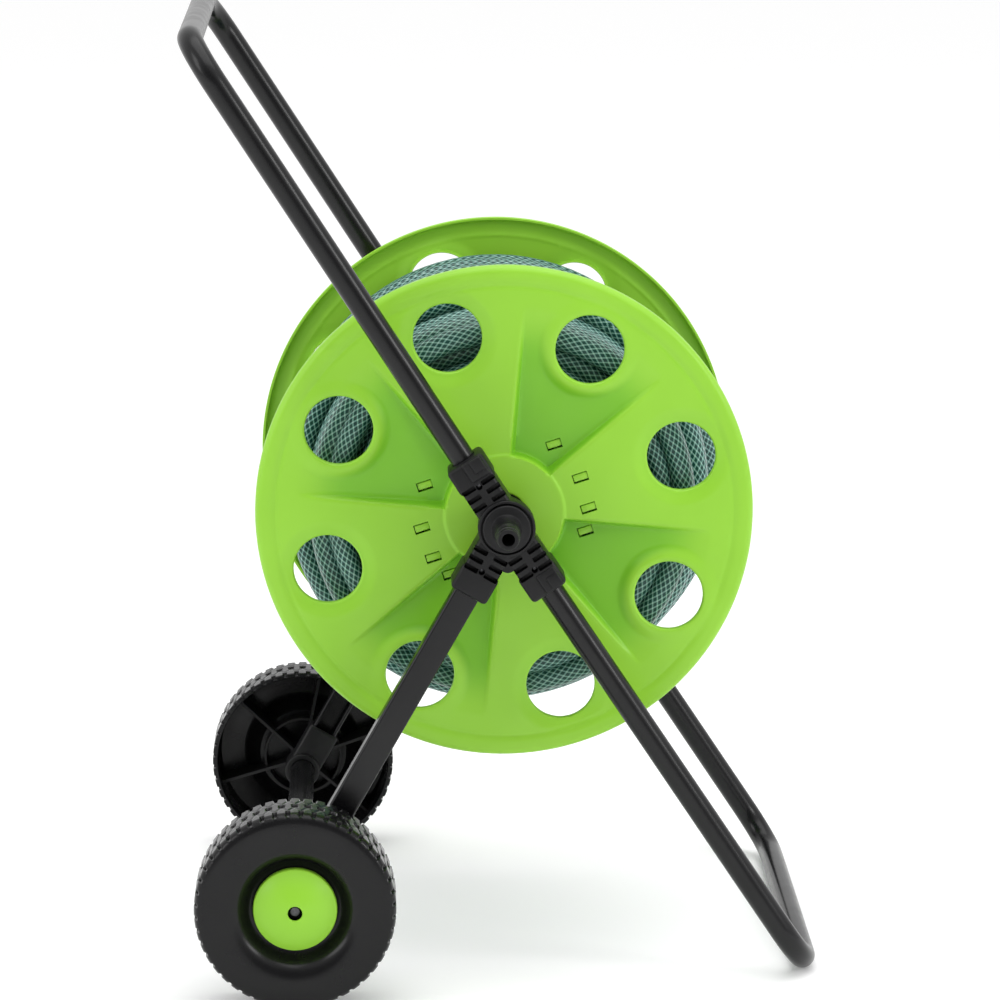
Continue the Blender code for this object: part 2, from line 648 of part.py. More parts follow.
CONNECTOR_PROFILE = [
    (0.0046, 0.0225), (0.0098, 0.0225), (0.0108, 0.0215), (0.0108, 0.0020), (0.0096, 0.0),
    (0.0112, -0.0020), (0.0112, -0.0215), (0.0104, -0.0225), (HOSE_R + GAP, -0.0225),
    (HOSE_R + GAP, -0.0060), (0.0046, -0.0060)]
connector_spot = polar(CONNECTOR_ANGLE, CONNECTOR_AT, CONNECTOR_Y)
connector_frame = aligned(connector_spot, polar(CONNECTOR_ANGLE - pi / 2, 1))
turned("hose_end_connector", CONNECTOR_PROFILE, "green_plastic", reel, connector_frame, steps=SMALL)


# ------------------------------------------------------------------ spindle, crank and knob
def drive_spindle():
    """Fixed in the far flange; its square end carries the crank."""
    profile = [(0, 0.2015), (0.0092, 0.2015), (0.0092, 0.1368), (0.0152, 0.1368), (0.0152, 0.1055)]
    profile.append((0, 0.1055))
    spindle = turned("drive_spindle", profile, "black_plastic", reel, outward(1), closed=False, steps=SMALL)
    square = box((SQUARE, 0.0186, SQUARE), Matrix.Translation((0, 0.2093, 0)))
    cut(spindle, square, reel, "UNION")
    cut(spindle, cylinder(0.0028, (0, 0.2035, 0), (0, 0.2196, 0)), reel)


def crank_arm():
    """A tapered arm from the spindle's square end down to the knob's pin."""
    lean = acos((CRANK_HUB_R - CRANK_TIP_R) / CRANK_REACH)
    outline = arc((0, 0), CRANK_HUB_R, -pi / 2 + lean, 1.5 * pi - lean, 12)
    outline += arc((0, -CRANK_REACH), CRANK_TIP_R, 1.5 * pi - lean, 1.5 * pi + lean, 8)
    stand = Matrix.Translation((0, (CRANK_INNER + CRANK_OUTER) / 2, 0)) @ Matrix.Rotation(pi / 2, 4, "X")
    arm = place("crank_arm", plate(outline, CRANK_OUTER - CRANK_INNER), "black_plastic", reel, matrix=stand)
    hole = box((SQUARE + 2 * GAP, 0.020, SQUARE + 2 * GAP), Matrix.Translation((0, 0.2105, 0)))
    cut(arm, hole, reel)
    pin_hole = cylinder(ROD_R + GAP, (0, 0.200, -CRANK_REACH), (0, 0.220, -CRANK_REACH))
    cut(arm, pin_hole, reel)
    smooth(arm.data)


drive_spindle()
crank_arm()
CRANK_SCREW_PROFILE = [
    (0, 0.2228), (0.0050, 0.2226), (0.0080, 0.2205), (0.0080, 0.2190), (0.0025, 0.2190),
    (0.0025, 0.2060), (0, 0.2050)]
turned("crank_screw", CRANK_SCREW_PROFILE, "steel", reel, outward(1), closed=False, steps=SMALL)
at_knob = Matrix.Translation((0, 0, -CRANK_REACH)) @ outward(1)
PIN_PROFILE = [
    (0, PIN_END), (0.0060, PIN_END), (0.0065, 0.2988), (0.0065, 0.2970), (ROD_R, 0.2970), (ROD_R, 0.2027),
    (0.0065, 0.2027), (0.0065, 0.2004), (0, 0.2004)]
turned("knob_pin", PIN_PROFILE, "steel", reel, at_knob, closed=False, steps=SMALL)
KNOB_PROFILE = [
    (ROD_R + GAP, KNOB_END), (0.0100, KNOB_END), (0.0130, 0.2945), (0.0138, 0.2880), (0.0128, 0.2600),
    (0.0118, 0.2400), (0.0125, 0.2240), (0.0115, 0.2200), (0.0095, 0.2186), (ROD_R + GAP, 0.2186)]
turned("crank_knob", KNOB_PROFILE, "black_plastic", knob_axis, outward(1), steps=SMALL)
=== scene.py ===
"""Garden hose reel cart, the looks: smooth tubes, sculpted flanges, treaded wheels and the wound hose.

Everything is in the row frame, in metres: +Z up, the drum's axle along Y, the water inlet towards -Y.
SHIFT takes the cart's own coordinates (X = 0 at the wheel axle, Y = 0 between the flanges) into it.
Sections of turned pieces are (radius, distance from the cart's mid-plane along the axle).
"""
import json
from math import acos, asin, atan2, ceil, cos, pi, radians, sin, sqrt, tan

import bmesh
import bpy
import numpy as np
from mathutils import Matrix, Vector
from mathutils.geometry import delaunay_2d_cdt


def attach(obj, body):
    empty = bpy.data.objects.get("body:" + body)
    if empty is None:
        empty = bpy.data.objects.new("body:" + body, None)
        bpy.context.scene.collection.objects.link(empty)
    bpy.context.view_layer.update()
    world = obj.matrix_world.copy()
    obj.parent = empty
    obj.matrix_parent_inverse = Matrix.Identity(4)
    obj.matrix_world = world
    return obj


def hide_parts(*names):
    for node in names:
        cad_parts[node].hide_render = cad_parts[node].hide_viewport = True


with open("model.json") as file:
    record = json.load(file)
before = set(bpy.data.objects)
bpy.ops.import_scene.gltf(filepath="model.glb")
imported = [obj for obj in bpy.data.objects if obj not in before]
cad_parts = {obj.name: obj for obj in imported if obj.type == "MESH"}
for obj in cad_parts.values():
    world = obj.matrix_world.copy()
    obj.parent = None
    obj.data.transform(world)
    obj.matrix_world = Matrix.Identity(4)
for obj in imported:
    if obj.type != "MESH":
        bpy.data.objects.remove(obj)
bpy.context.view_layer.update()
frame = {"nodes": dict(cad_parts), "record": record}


def mm(*points):
    """Points given in millimetres, in metres."""
    return [tuple(v / 1000 for v in point) for point in points]


# ---- sizes shared with the CAD
TUBE_R = 0.009
BEND_R = 0.035
FRAME_Y = 0.1725
HUB_X, HUB_Z = 0.1515, 0.339
HANDLE_ANGLE, HANDLE_REACH = radians(57.1), 0.4095
FOOT_ANGLE = radians(56.4)
WHEEL_R, WHEEL_INNER_Y = 0.072, 0.194
STRUT_WIDTH, STRUT_DEPTH, STRUT_WALL = 0.0194, 0.014, 0.0025
FLANGE_OUTER = 0.133
PAD_R, FLANGE_BORE_R = 0.0435, 0.0155
HOLE_R, HOLE_AT = 0.0248, 0.134
PHASE = radians(-4.7)
CLIP_AXIS = radians(112.5)
CLIP_ANGLES = tuple(radians(a) for a in (54, 82, 104, 122))
CRANK_REACH = 0.110
PIN_END, CAP_FACE = 0.2995, 0.2435
HOSE_R = 0.00875

HANDLE_DIR = Vector((-cos(HANDLE_ANGLE), 0, sin(HANDLE_ANGLE)))
FOOT_DIR = Vector((cos(FOOT_ANGLE), 0, -sin(FOOT_ANGLE)))
FOOT_REACH = (HUB_Z - TUBE_R) / sin(FOOT_ANGLE)
SHIFT = Vector((
    -(2 * HUB_X + HANDLE_DIR.x * HANDLE_REACH + FOOT_DIR.x * FOOT_REACH) / 2,
    -(PIN_END - CAP_FACE) / 2, 0))
HUB = Vector((HUB_X, 0, HUB_Z)) + SHIFT
AXLE = Vector((0, 0, WHEEL_R)) + SHIFT
STRUT_DIR = (AXLE - HUB).normalized()
STRUT_LENGTH = (AXLE - HUB).length
SIDES = {"near": -1, "far": 1}


# ---- camera, floor and light
SENSOR_WIDTH, LENS = 36.0, 169.06  # mm
LENS_SHIFT = (-0.0016, -0.0055)
CAMERA_AT = Vector((0.0539, -3.4536, 1.0069)) + SHIFT
CAMERA_AHEAD = Vector((0.0282, 0.9807, -0.1932)).normalized()
CAMERA_RIGHT = Vector((0.9996, -0.0286, 0.0010))
WORLD_FRONT, WORLD_LIGHT = 0.22, 0.96  # how bright the tent is round the camera, and elsewhere
FLOOR_GLOW = 0.14


def placed(name, data):
    """An object in the scene."""
    made = bpy.data.objects.new(name, data)
    bpy.context.scene.collection.objects.link(made)
    return made


def make_camera():
    """The photograph's viewing angle: a long lens from the inlet's side, a little above."""
    data = bpy.data.cameras.new("camera")
    data.sensor_width, data.lens = SENSOR_WIDTH, LENS
    data.shift_x, data.shift_y = LENS_SHIFT
    data.clip_end = 100
    camera = placed("camera", data)
    right = (CAMERA_RIGHT - CAMERA_AHEAD * CAMERA_RIGHT.dot(CAMERA_AHEAD)).normalized()
    turn = Matrix((right, right.cross(CAMERA_AHEAD), -CAMERA_AHEAD)).transposed().to_4x4()
    camera.matrix_world = Matrix.Translation(CAMERA_AT) @ turn
    bpy.context.scene.camera = camera


def add_light(name, place, aim, size, power, shape=1.0):
    """A large soft rectangular lamp."""
    data = bpy.data.lights.new(name, "AREA")
    data.shape = "RECTANGLE"
    data.size, data.size_y = size, size * shape
    data.energy = power
    lamp = placed(name, data)
    lamp.location = place
    lamp.rotation_mode = "QUATERNION"
    lamp.rotation_quaternion = (Vector(aim) - Vector(place)).to_track_quat("-Z", "Y")


class Nodes:
    """Short-hand for building a node tree."""

    def __init__(self, tree):
        self.tree = tree

    def feed(self, socket, value):
        """Links an output, or sets a value. A colour may leave out its alpha."""
        if isinstance(value, bpy.types.NodeSocket):
            self.tree.links.new(value, socket)
        elif value is not None:
            socket.default_value = (*value, 1) if isinstance(value, tuple) else value

    def add(self, kind, feeds=(), **settings):
        """A node with its settings, and what goes into its inputs."""
        node = self.tree.nodes.new(kind)
        for key, value in settings.items():
            setattr(node, key, value)
        for key, value in dict(feeds).items():
            self.feed(node.inputs[key], value)
        return node

    def math(self, operation, a, b=None):
        return self.add("ShaderNodeMath", enumerate((a, b)), operation=operation).outputs[0]

    def ramp(self, value, low, high, to_low=0.0, to_high=1.0):
        """Maps a value from one range to another, smoothly."""
        feeds = {"Value": value, "From Min": low, "From Max": high, "To Min": to_low, "To Max": to_high}
        return self.add("ShaderNodeMapRange", feeds, interpolation_type="SMOOTHSTEP").outputs["Result"]

    def mix(self, share, a, b):
        """Mixes two colours."""
        return self.add("ShaderNodeMix", {"Factor": share, 6: a, 7: b}, data_type="RGBA").outputs[2]


class Material(Nodes):
    """A material's nodes round its shader, with noises in the object's own coordinates."""

    def __init__(self, name):
        self.made = bpy.data.materials.new(name)
        self.made.use_nodes = True
        super().__init__(self.made.node_tree)
        self.shader = self.tree.nodes["Principled BSDF"]
        self.place = self.add("ShaderNodeTexCoord").outputs["Object"]

    def set(self, key, value):
        """Links or sets one of the shader's own sockets."""
        self.feed(self.shader.inputs[key], value)

    def noise(self, scale, detail=2.0):
        feeds = {"Vector": self.place, "Scale": scale, "Detail": detail}
        return self.add("ShaderNodeTexNoise", feeds).outputs["Fac"]

    def bump(self, height, strength, distance, normal=None):
        feeds = {"Strength": strength, "Distance": distance, "Height": height, "Normal": normal}
        return self.add("ShaderNodeBump", feeds).outputs["Normal"]

    def mottled(self, dark, light, scale, detail, low=0.3, high=0.7):
        """A colour that drifts between two."""
        return self.mix(self.ramp(self.noise(scale, detail), low, high), dark, light)

    def gloss(self, low, high, scale, detail=2.0):
        """A roughness that drifts between two values."""
        self.set("Roughness", self.ramp(self.noise(scale, detail), 0.3, 0.7, low, high))


def make_world():
    """An even white tent, darker round the camera's opening so that gloss shows form."""
    world = bpy.data.worlds.new("tent")
    world.use_nodes = True
    n = Nodes(world.node_tree)
    back = world.node_tree.nodes["Background"]
    split = n.add("ShaderNodeSeparateXYZ", {0: n.add("ShaderNodeTexCoord").outputs["Generated"]})
    tent = n.ramp(split.outputs["Y"], -0.96, -0.55, WORLD_FRONT, WORLD_LIGHT)
    seen = n.add("ShaderNodeLightPath").outputs["Is Camera Ray"]
    strength = n.math("ADD", n.math("MULTIPLY", tent, n.math("SUBTRACT", 1.0, seen)), seen)
    n.feed(back.inputs["Strength"], strength)
    n.feed(back.inputs["Color"], (1.0, 1.0, 1.0))
    bpy.context.scene.world = world


def make_stage():
    """A plain pale floor."""
    bm = bmesh.new()
    bmesh.ops.create_grid(bm, x_segments=1, y_segments=1, size=25)
    floor = placed("floor", data_of(bm))
    floor.location = (0, 0, -0.0002)
    n = Material("floor")
    n.set("Base Color", (0.92, 0.92, 0.92))
    n.set("Roughness", 0.9)
    n.set("Specular IOR Level", 0.1)
    n.set("Emission Color", (1.0, 1.0, 1.0))
    n.set("Emission Strength", FLOOR_GLOW)
    floor.data.materials.append(n.made)


# ---- materials
def moulded(n, dark, light, rough, grain, spec, painted_recess_shade=None):
    """Moulded plastic: faint flow marks in the colour, fine grain and a slightly uneven gloss.

    A darker colour is painted shade in the hollows, which the mesh's own attribute marks."""
    colour = n.mottled(dark, light, 9.0, 3.0)
    if painted_recess_shade:
        # painted shade: the hollows get the darker colour, by the flanges' point attribute
        hollow = n.add("ShaderNodeAttribute", attribute_type="GEOMETRY", attribute_name="hollow")
        colour = n.mix(hollow.outputs["Fac"], colour, painted_recess_shade)
    n.set("Base Color", colour)
    n.gloss(*rough, 40.0, 3.0)
    n.set("Specular IOR Level", spec)
    fine = n.bump(n.noise(1400.0), 0.06 * grain, 0.0004)
    n.set("Normal", n.bump(n.noise(55.0, 1.0), 0.10 * grain, 0.0006, fine))


def enamel(n):
    """Gloss black powder coat on steel tube, with its slight orange peel."""
    n.set("Base Color", n.mottled((0.0035, 0.0035, 0.004), (0.006, 0.006, 0.0065), 22.0, 4.0, 0.35, 0.75))
    n.gloss(0.23, 0.27, 60.0, 1.0)
    n.set("Specular IOR Level", 0.32)
    n.set("Normal", n.bump(n.noise(420.0, 1.0), 0.004, 0.0003))


def zinc(n):
    """Dark oiled steel with fine turning lines and dull patches."""
    n.set("Base Color", n.mottled((0.10, 0.10, 0.105), (0.06, 0.06, 0.063), 160.0, 4.0, 0.35, 0.7))
    n.gloss(0.25, 0.42, 300.0, 3.0)
    n.set("Metallic", 1.0)
    n.set("Normal", n.bump(n.noise(2500.0), 0.08, 0.0003))


def rubber(n):
    """Dull black seal rubber."""
    n.set("Base Color", n.mix(n.noise(200.0), (0.008, 0.008, 0.008), (0.02, 0.02, 0.02)))
    n.gloss(0.6, 0.8, 400.0)
    n.set("Normal", n.bump(n.noise(1800.0), 0.1, 0.0003))


BRAID_YARNS = 13  # yarns each way round the hose
BRAID_LEAD = 0.083  # metres along the hose for one turn of a yarn


def braided(n):
    """Dark translucent green hose over a pale diamond braid. UV holds metres along and turns round."""
    split = n.add("ShaderNodeSeparateXYZ", {0: n.add("ShaderNodeTexCoord").outputs["UV"]})
    helix = n.math("MULTIPLY", split.outputs["X"], BRAID_YARNS / BRAID_LEAD)
    turn = n.math("MULTIPLY", split.outputs["Y"], float(BRAID_YARNS))
    lines = []
    for sign in ("ADD", "SUBTRACT"):
        saw = n.math("FRACT", n.math(sign, turn, helix))
        off = n.math("ABSOLUTE", n.math("SUBTRACT", saw, 0.5))
        lines.append(n.ramp(off, 0.11, 0.20, 1.0, 0.0))
    both = n.math("MAXIMUM", *lines)
    cross = n.math("MULTIPLY", *lines)
    wall = n.mottled((0.001, 0.037, 0.029), (0.003, 0.056, 0.045), 30.0, 3.0)
    yarn = n.mottled((0.120, 0.275, 0.238), (0.180, 0.350, 0.305), 30.0, 3.0)
    yarn = n.mix(n.math("MULTIPLY", cross, 0.8), yarn, (0.44, 0.62, 0.57))
    n.set("Base Color", n.mix(both, wall, yarn))
    n.gloss(0.30, 0.42, 90.0)
    n.set("Coat Weight", 0.16)
    n.set("Coat Roughness", 0.12)
    n.set("Specular IOR Level", 0.30)
    n.set("Normal", n.bump(both, 0.55, 0.0006))


MATERIALS = {}
LOOKS = (
    ("green_plastic", moulded, (0.264, 0.578, 0.030), (0.286, 0.612, 0.038), (0.34, 0.46), 0.6, 0.40,
        # the green plastic's last colour is painted shade for the flanges' recesses
        (0.178, 0.488, 0.017)),
    ("black_plastic", moulded, (0.0052, 0.0052, 0.0056), (0.0075, 0.0075, 0.0079), (0.36, 0.50), 1.0, 0.26),
    ("wheel_plastic", moulded, (0.0046, 0.0045, 0.0051), (0.0062, 0.0061, 0.0067), (0.20, 0.28), 0.4, 0.25),
    ("black_tube", enamel), ("steel", zinc), ("seal_rubber", rubber), ("hose", braided))
for slot, look, *settings in LOOKS:
    nodes = Material(slot)
    look(nodes, *settings)
    MATERIALS[slot] = nodes.made
for entry in frame["record"]["subparts"]:
    node = frame["nodes"][entry["node"]]
    node.data.materials.clear()
    node.data.materials.append(MATERIALS[entry["material_slot"]])
BODY_OF = {n: body for body, names in frame["record"]["behaviour"]["bodies"].items() for n in names}
SLOT_OF = {entry["node"]: entry["material_slot"] for entry in frame["record"]["subparts"]}


# ---- mesh helpers
def show(name, mesh, node=None, slot=None, body=None):
    """Puts a finished mesh, in the row frame, on its body with its material, for the node it stands for."""
    slot = slot or SLOT_OF[node]
    mesh.materials.clear()
    mesh.materials.append(MATERIALS[slot])
    made = placed(name, mesh)
    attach(made, body or BODY_OF[node])
    if node:
        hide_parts(node)
    return made


def mesh_of(name, verts, faces):
    """Mesh data from points and faces."""
    mesh = bpy.data.meshes.new(name)
    mesh.from_pydata([tuple(v) for v in verts], [], faces)
    mesh.update()
    return mesh


def loft(rings):
    """A solid through rings of points, with both ends closed."""
    verts = [point for ring in rings for point in ring]
    sides = len(rings[0])
    faces = []
    for low in range(0, len(verts) - sides, sides):
        for i in range(sides):
            j = (i + 1) % sides
            faces.append([low + i, low + j, low + sides + j, low + sides + i])
    faces += [list(reversed(range(sides))), list(range(len(verts) - sides, len(verts)))]
    return mesh_of("loft", verts, faces)


def smooth(mesh, angle=35):
    """Smooth shading but for the sharp edges."""
    mesh.shade_smooth()
    mesh.set_sharp_from_angle(angle=radians(angle))
    return mesh


def bmesh_of(*meshes):
    """Meshes as one bmesh. The meshes are used up."""
    bm = bmesh.new()
    for mesh in meshes:
        bm.from_mesh(mesh)
        bpy.data.meshes.remove(mesh)
    return bm


def turned_out(bm):
    """The same bmesh, with every face turned outwards."""
    bmesh.ops.recalc_face_normals(bm, faces=bm.faces)
    return bm


def data_of(bm):
    """A bmesh as mesh data. The bmesh is used up."""
    mesh = bpy.data.meshes.new("data")
    bm.to_mesh(mesh)
    bm.free()
    return mesh


def outward(side, at=HUB):
    """Local Z along -Y for the near side and +Y for the far side, at a point."""
    return Matrix.Translation(at) @ Matrix.Rotation(-side * pi / 2, 4, "X")


def aligned(start, direction):
    """A matrix that stands local Z on a direction at a point."""
    return Matrix.Translation(start) @ direction.to_track_quat("Z", "Y").to_matrix().to_4x4()


def polar(angle, radius, y=0.0):
    """A point round the drum's axle, at an angle above +X."""
    return Vector((radius * cos(angle), y, radius * sin(angle)))


def beside(y, start=HUB):
    """A point on the drum's axle, or a distance along Y from another start."""
    return start + Vector((0, y, 0))


def moved(place, x, y, z):
    """A matrix moved along its own axes."""
    return place @ Matrix.Translation((x, y, z))


def cut(bm):
    """A solid that combine takes away."""
    return "DIFFERENCE", bm


def add(bm):
    """A solid that combine joins on."""
    return "UNION", bm


def rounded(points, size=0.0006, closed=True, steps=3):
    """A profile with its corners rounded by up to a size."""
    out = []
    count = len(points)
    for i, here in enumerate(points):
        here = Vector(here)
        a, b = Vector(points[i - 1]) - here, Vector(points[(i + 1) % count]) - here
        reach = min(size, a.length * 0.45, b.length * 0.45)
        bend = a.angle(b) if a.length and b.length else pi
        if bend > radians(160) or (not closed and i in (0, count - 1)):
            out.append(tuple(here))
            continue
        start, end = here + a.normalized() * reach, here + b.normalized() * reach
        for k in range(steps + 1):
            t = k / steps
            out.append(tuple(start * (1 - t) ** 2 + here * 2 * t * (1 - t) + end * t * t))
    return out


def lathe(profile, matrix, steps=64, closed=True, corner=0.0005, reach=None):
    """A (radius, height) profile turned about local Z. Its outer side runs top to bottom."""
    points = rounded(profile, corner, closed) if corner else list(profile)
    verts, rings = [], []
    for r, h in points:
        if r < 1e-6:
            rings.append([len(verts)] * steps)
            verts.append(Vector((0, 0, h)))
            continue
        rings.append(list(range(len(verts), len(verts) + steps)))
        for i in range(steps):
            a = 2 * pi * i / steps
            rr = r if reach is None else reach(r, h, a)
            verts.append(Vector((rr * cos(a), rr * sin(a), h)))
    faces = []
    pairs = list(zip(rings, rings[1:] + rings[:1])) if closed else list(zip(rings, rings[1:]))
    for upper, lower in pairs:
        for i in range(steps):
            j = (i + 1) % steps
            quad = [upper[i], lower[i], lower[j], upper[j]]
            quad = [v for k, v in enumerate(quad) if v != quad[k - 1]]
            if len(quad) > 2:
                faces.append(quad)
    return smooth(mesh_of("lathe", [matrix @ v for v in verts], faces))


def tube_mesh(path, radius, sides):
    """A round bar along a path, with no twist from ring to ring."""
    ahead = [(b - a).normalized() for a, b in zip(path, path[1:])]
    ahead = [ahead[0]] + [(a + b).normalized() for a, b in zip(ahead, ahead[1:])] + [ahead[-1]]
    side = ahead[0].orthogonal().normalized()
    turns = [2 * pi * i / sides for i in range(sides)]
    rings = []
    for here, way in zip(path, ahead):
        side = (side - way * side.dot(way)).normalized()
        other = way.cross(side)
        rings.append([here + side * (radius * cos(a)) + other * (radius * sin(a)) for a in turns])
    return loft(rings)


def rounded_path(corners, radius, steps):
    """Straight runs between corners, each inner corner an arc of the radius."""
    path = [corners[0]]
    for before, here, after in zip(corners, corners[1:], corners[2:]):
        back, ahead = (before - here).normalized(), (after - here).normalized()
        half = acos(max(-1, min(1, back.dot(ahead)))) / 2
        centre = here + (back + ahead).normalized() * (radius / sin(half))
        start, end = (here + way * (radius / tan(half)) - centre for way in (back, ahead))
        sweep = start.angle(end)
        for i in range(steps + 1):
            t = i / steps
            path.append(centre + (start * sin((1 - t) * sweep) + end * sin(t * sweep)) / sin(sweep))
    return [*path, corners[-1]]


def solid(size, matrix, bevel=0.0, segments=3):
    """A box as a bmesh, its edges rounded."""
    bm = bmesh.new()
    bmesh.ops.create_cube(bm, size=1.0)
    bmesh.ops.scale(bm, vec=size, verts=bm.verts)
    if bevel:
        bmesh.ops.bevel(bm, geom=bm.edges[:], offset=bevel, segments=segments, profile=0.5, affect="EDGES")
    bmesh.ops.transform(bm, matrix=matrix, verts=bm.verts)
    return bm


def bar(radius, start, end, sides=48):
    """A round bar between two points as a bmesh."""
    bm = bmesh.new()
    bmesh.ops.create_cone(
        bm, cap_ends=True, segments=sides, radius1=radius, radius2=radius,
        depth=(end - start).length, matrix=aligned((start + end) / 2, end - start))
    return bm


def combine(base, tools, bevel=0.0):
    """Adds and cuts solids with exact booleans, rounds the edges, and gives the mesh."""
    body = placed("body", data_of(base))
    helpers = []
    for operation, bm in tools:
        tool = placed("tool", data_of(bm))
        helpers.append(tool)
        step = body.modifiers.new(operation, "BOOLEAN")
        step.operation = operation
        step.solver = "EXACT"
        step.object = tool
    if bevel:
        step = body.modifiers.new("bevel", "BEVEL")
        step.width = bevel
        step.segments = 2
        step.limit_method = "ANGLE"
        step.angle_limit = radians(30)
    graph = bpy.context.evaluated_depsgraph_get()
    mesh = bpy.data.meshes.new_from_object(body.evaluated_get(graph))
    for old in [body, *helpers]:
        data = old.data
        bpy.data.objects.remove(old, do_unlink=True)
        bpy.data.meshes.remove(data)
    return smooth(mesh, 40)


def ease(t):
    """0 to 1, smooth at both ends. Works on arrays."""
    t = np.clip(t, 0.0, 1.0)
    return t * t * (3 - 2 * t)


make_camera()
make_world()
make_stage()
add_light("top", (0.2, -0.3, 3.2), (0, 0, 0.2), 3.0, 46)
add_light("left", (-2.6, -1.4, 1.5), (0, 0, 0.35), 1.1, 16, 1.5)
add_light("right", (2.6, -1.6, 1.6), (0, 0, 0.35), 0.8, 21, 1.4)
bpy.context.scene.view_settings.view_transform = "Standard"

# ---- the flanges
SECTOR = pi / 4
RECESS_DEPTH = 0.0115  # at the hub pad's edge
RECESS_END = 0.150  # where the recess has risen to the face
WALL = 0.0040  # how wide a recess's side wall is
CONE_RISE, CONE_R = 0.0030, 0.166  # the face rises from this radius towards the hub
GROOVE_R, GROOVE_DEPTH = 0.1655, 0.0006  # the line round the face, inside the rim
PAD_RISE, PAD_CROWN = 0.0042, 0.0004
HOLE_ROUND = 0.0019  # the rounding of a hand hole's edge
LIP_R, COLLAR_FOOT = 0.0280, 0.0376  # the raised collar round a hole in a recess
DISH_R, DISH_DEPTH = 0.0365, 0.0022  # the shallow dish round the other holes
SKIN = 0.0024  # the moulding's thickness
FACE_R = 0.1746  # where the rolled rim starts
BORE_R = FLANGE_BORE_R + 0.0006
HOLES = [PHASE + (k + 0.5) * SECTOR for k in range(8)]
CLIPS = [CLIP_AXIS + PHASE + sign * a for sign in (-1, 1) for a in CLIP_ANGLES]
CLIP_AT = 0.0606
CLIP_WAY = CLIP_AXIS + PHASE - pi / 2  # the way that the core's halves part
SLOT_SIZE = (0.0112, 0.0070)
SLOT_WAY = np.array((cos(CLIP_WAY), sin(CLIP_WAY)))
SLOT_SIDE = np.array((-sin(CLIP_WAY), cos(CLIP_WAY)))
EDGES = {  # each edge's way from the outer face to the inner one: (outwards, up)
    "rim": mm(
        (1.2, -0.1), (2.3, -0.5), (3.3, -1.1), (4.2, -2), (4.9, -3.2), (5.3, -4.6), (5.4, -6), (5.4, -9),
        (5, -9.6), (3.6, -9.6), (3.2, -9), (3.2, -5.8), (2.6, -4.2), (1.4, -3)),
    "hole": mm(
        (-0.6, -0.12), (-1.1, -0.4), (-1.5, -0.9), (-1.8, -1.6), (-1.9, -2.5), (-1.9, -5), (-1.5, -5.4),
        (-0.8, -5), (-0.4, -3.4)),
    "bore": mm((-0.4, -0.2), (-0.6, -0.6), (-0.6, -28), (2.9, -28), (2.9, -2.6)),
    "slot": []}


def circle(radius, count, centre=(0, 0), start=0.0):
    """Points round a centre."""
    a = start + 2 * pi * np.arange(count) / count
    return np.array(centre) + radius * np.stack((np.cos(a), np.sin(a)), 1)


def at_angle(angle, radius):
    """A point of the face."""
    return np.array((cos(angle), sin(angle))) * radius


def distance(points, centre=(0, 0)):
    """How far points lie from a centre."""
    return np.hypot(*(points - np.array(centre)).T)


def recessed(k):
    """Sectors take turns: every second one is recessed."""
    return k % 2 == 1


def sector_edge(points):
    """How far points lie from the nearest recess wall, and which lie in a recess."""
    turn = np.mod(np.arctan2(points[:, 1], points[:, 0]) - PHASE, 2 * SECTOR) - SECTOR
    edge = distance(points) * np.sin(np.minimum(np.abs(turn), np.abs(SECTOR - turn)))
    return edge, turn > 0


def cone(r):
    """The face's height at a radius, without its recesses."""
    return CONE_RISE * (1 - (r - PAD_R) / (CONE_R - PAD_R))


def flange_height(points):
    """The outer face's height above its rim plane."""
    r = distance(points)
    edge, inside = sector_edge(points)
    groove = GROOVE_DEPTH * np.exp(-((r - GROOVE_R) / 0.0012) ** 2)
    outer = 0.0007 * ease((r - 0.1665) / 0.004) * (r > 0.1665)
    face = np.where(r < CONE_R, cone(r), 0.0) - groove + outer
    ramp = np.clip((RECESS_END - r) / (RECESS_END - PAD_R), 0, 1)
    floor = face - np.where(inside, RECESS_DEPTH * ramp ** 0.9 * ease(edge / WALL), 0.0)
    for k, angle in enumerate(HOLES):
        away = distance(points, at_angle(angle, HOLE_AT))
        if recessed(k):
            share = ease((away - LIP_R) / (COLLAR_FOOT - LIP_R))
            lip = cone(HOLE_AT) + 0.0002
            floor = np.where(away < COLLAR_FOOT, lip * (1 - share) + floor * share, floor)
        else:
            floor = floor - DISH_DEPTH * (1 - ease((away - HOLE_R) / (DISH_R - HOLE_R)))
    pad = PAD_RISE + PAD_CROWN * (1 - (r / PAD_R) ** 2)
    share = ease((r - (PAD_R - 0.0012)) / 0.0026)
    return pad * (1 - share) + floor * share


def flange_painted_shade(points):
    """How much painted shade each point of the face gets, by how deep it lies: from 0 on the face to 1 in
    the recesses.
    """
    r = distance(points)
    recess_shade = np.clip((cone(r) - flange_height(points) - 0.0004) / 0.0042, 0, 1)
    near_hole = np.ones(len(points))
    for k, angle in enumerate(HOLES):
        if not recessed(k):
            away = distance(points, at_angle(angle, HOLE_AT))
            near_hole = np.minimum(near_hole, np.clip((away - DISH_R + 0.004) / 0.004, 0.35, 1))
    return ease(recess_shade) * near_hole * (r < 0.160) * (r > PAD_R - 0.001)


def slot_place(angle, along=0.0, across=0.0):
    """A point of a clip's slot, from the slot's middle."""
    return at_angle(angle, CLIP_AT) + SLOT_WAY * along + SLOT_SIDE * across


def in_slot(points, angle, margin):
    """Which points lie in a clip's slot, widened by a margin."""
    off = points - slot_place(angle)
    inside = np.abs(off @ SLOT_WAY) < SLOT_SIZE[0] / 2 + margin
    return inside & (np.abs(off @ SLOT_SIDE) < SLOT_SIZE[1] / 2 + margin)


def slot_outline(angle):
    """Points round a clip's slot."""
    signs = ((-1, -1), (1, -1), (1, 1), (-1, 1))
    corners = [slot_place(angle, a * SLOT_SIZE[0] / 2, b * SLOT_SIZE[1] / 2) for a, b in signs]
    pairs = zip(corners, corners[1:] + corners[:1])
    return np.array([p + (q - p) * t for p, q in pairs for t in (0, 0.34, 0.67)])


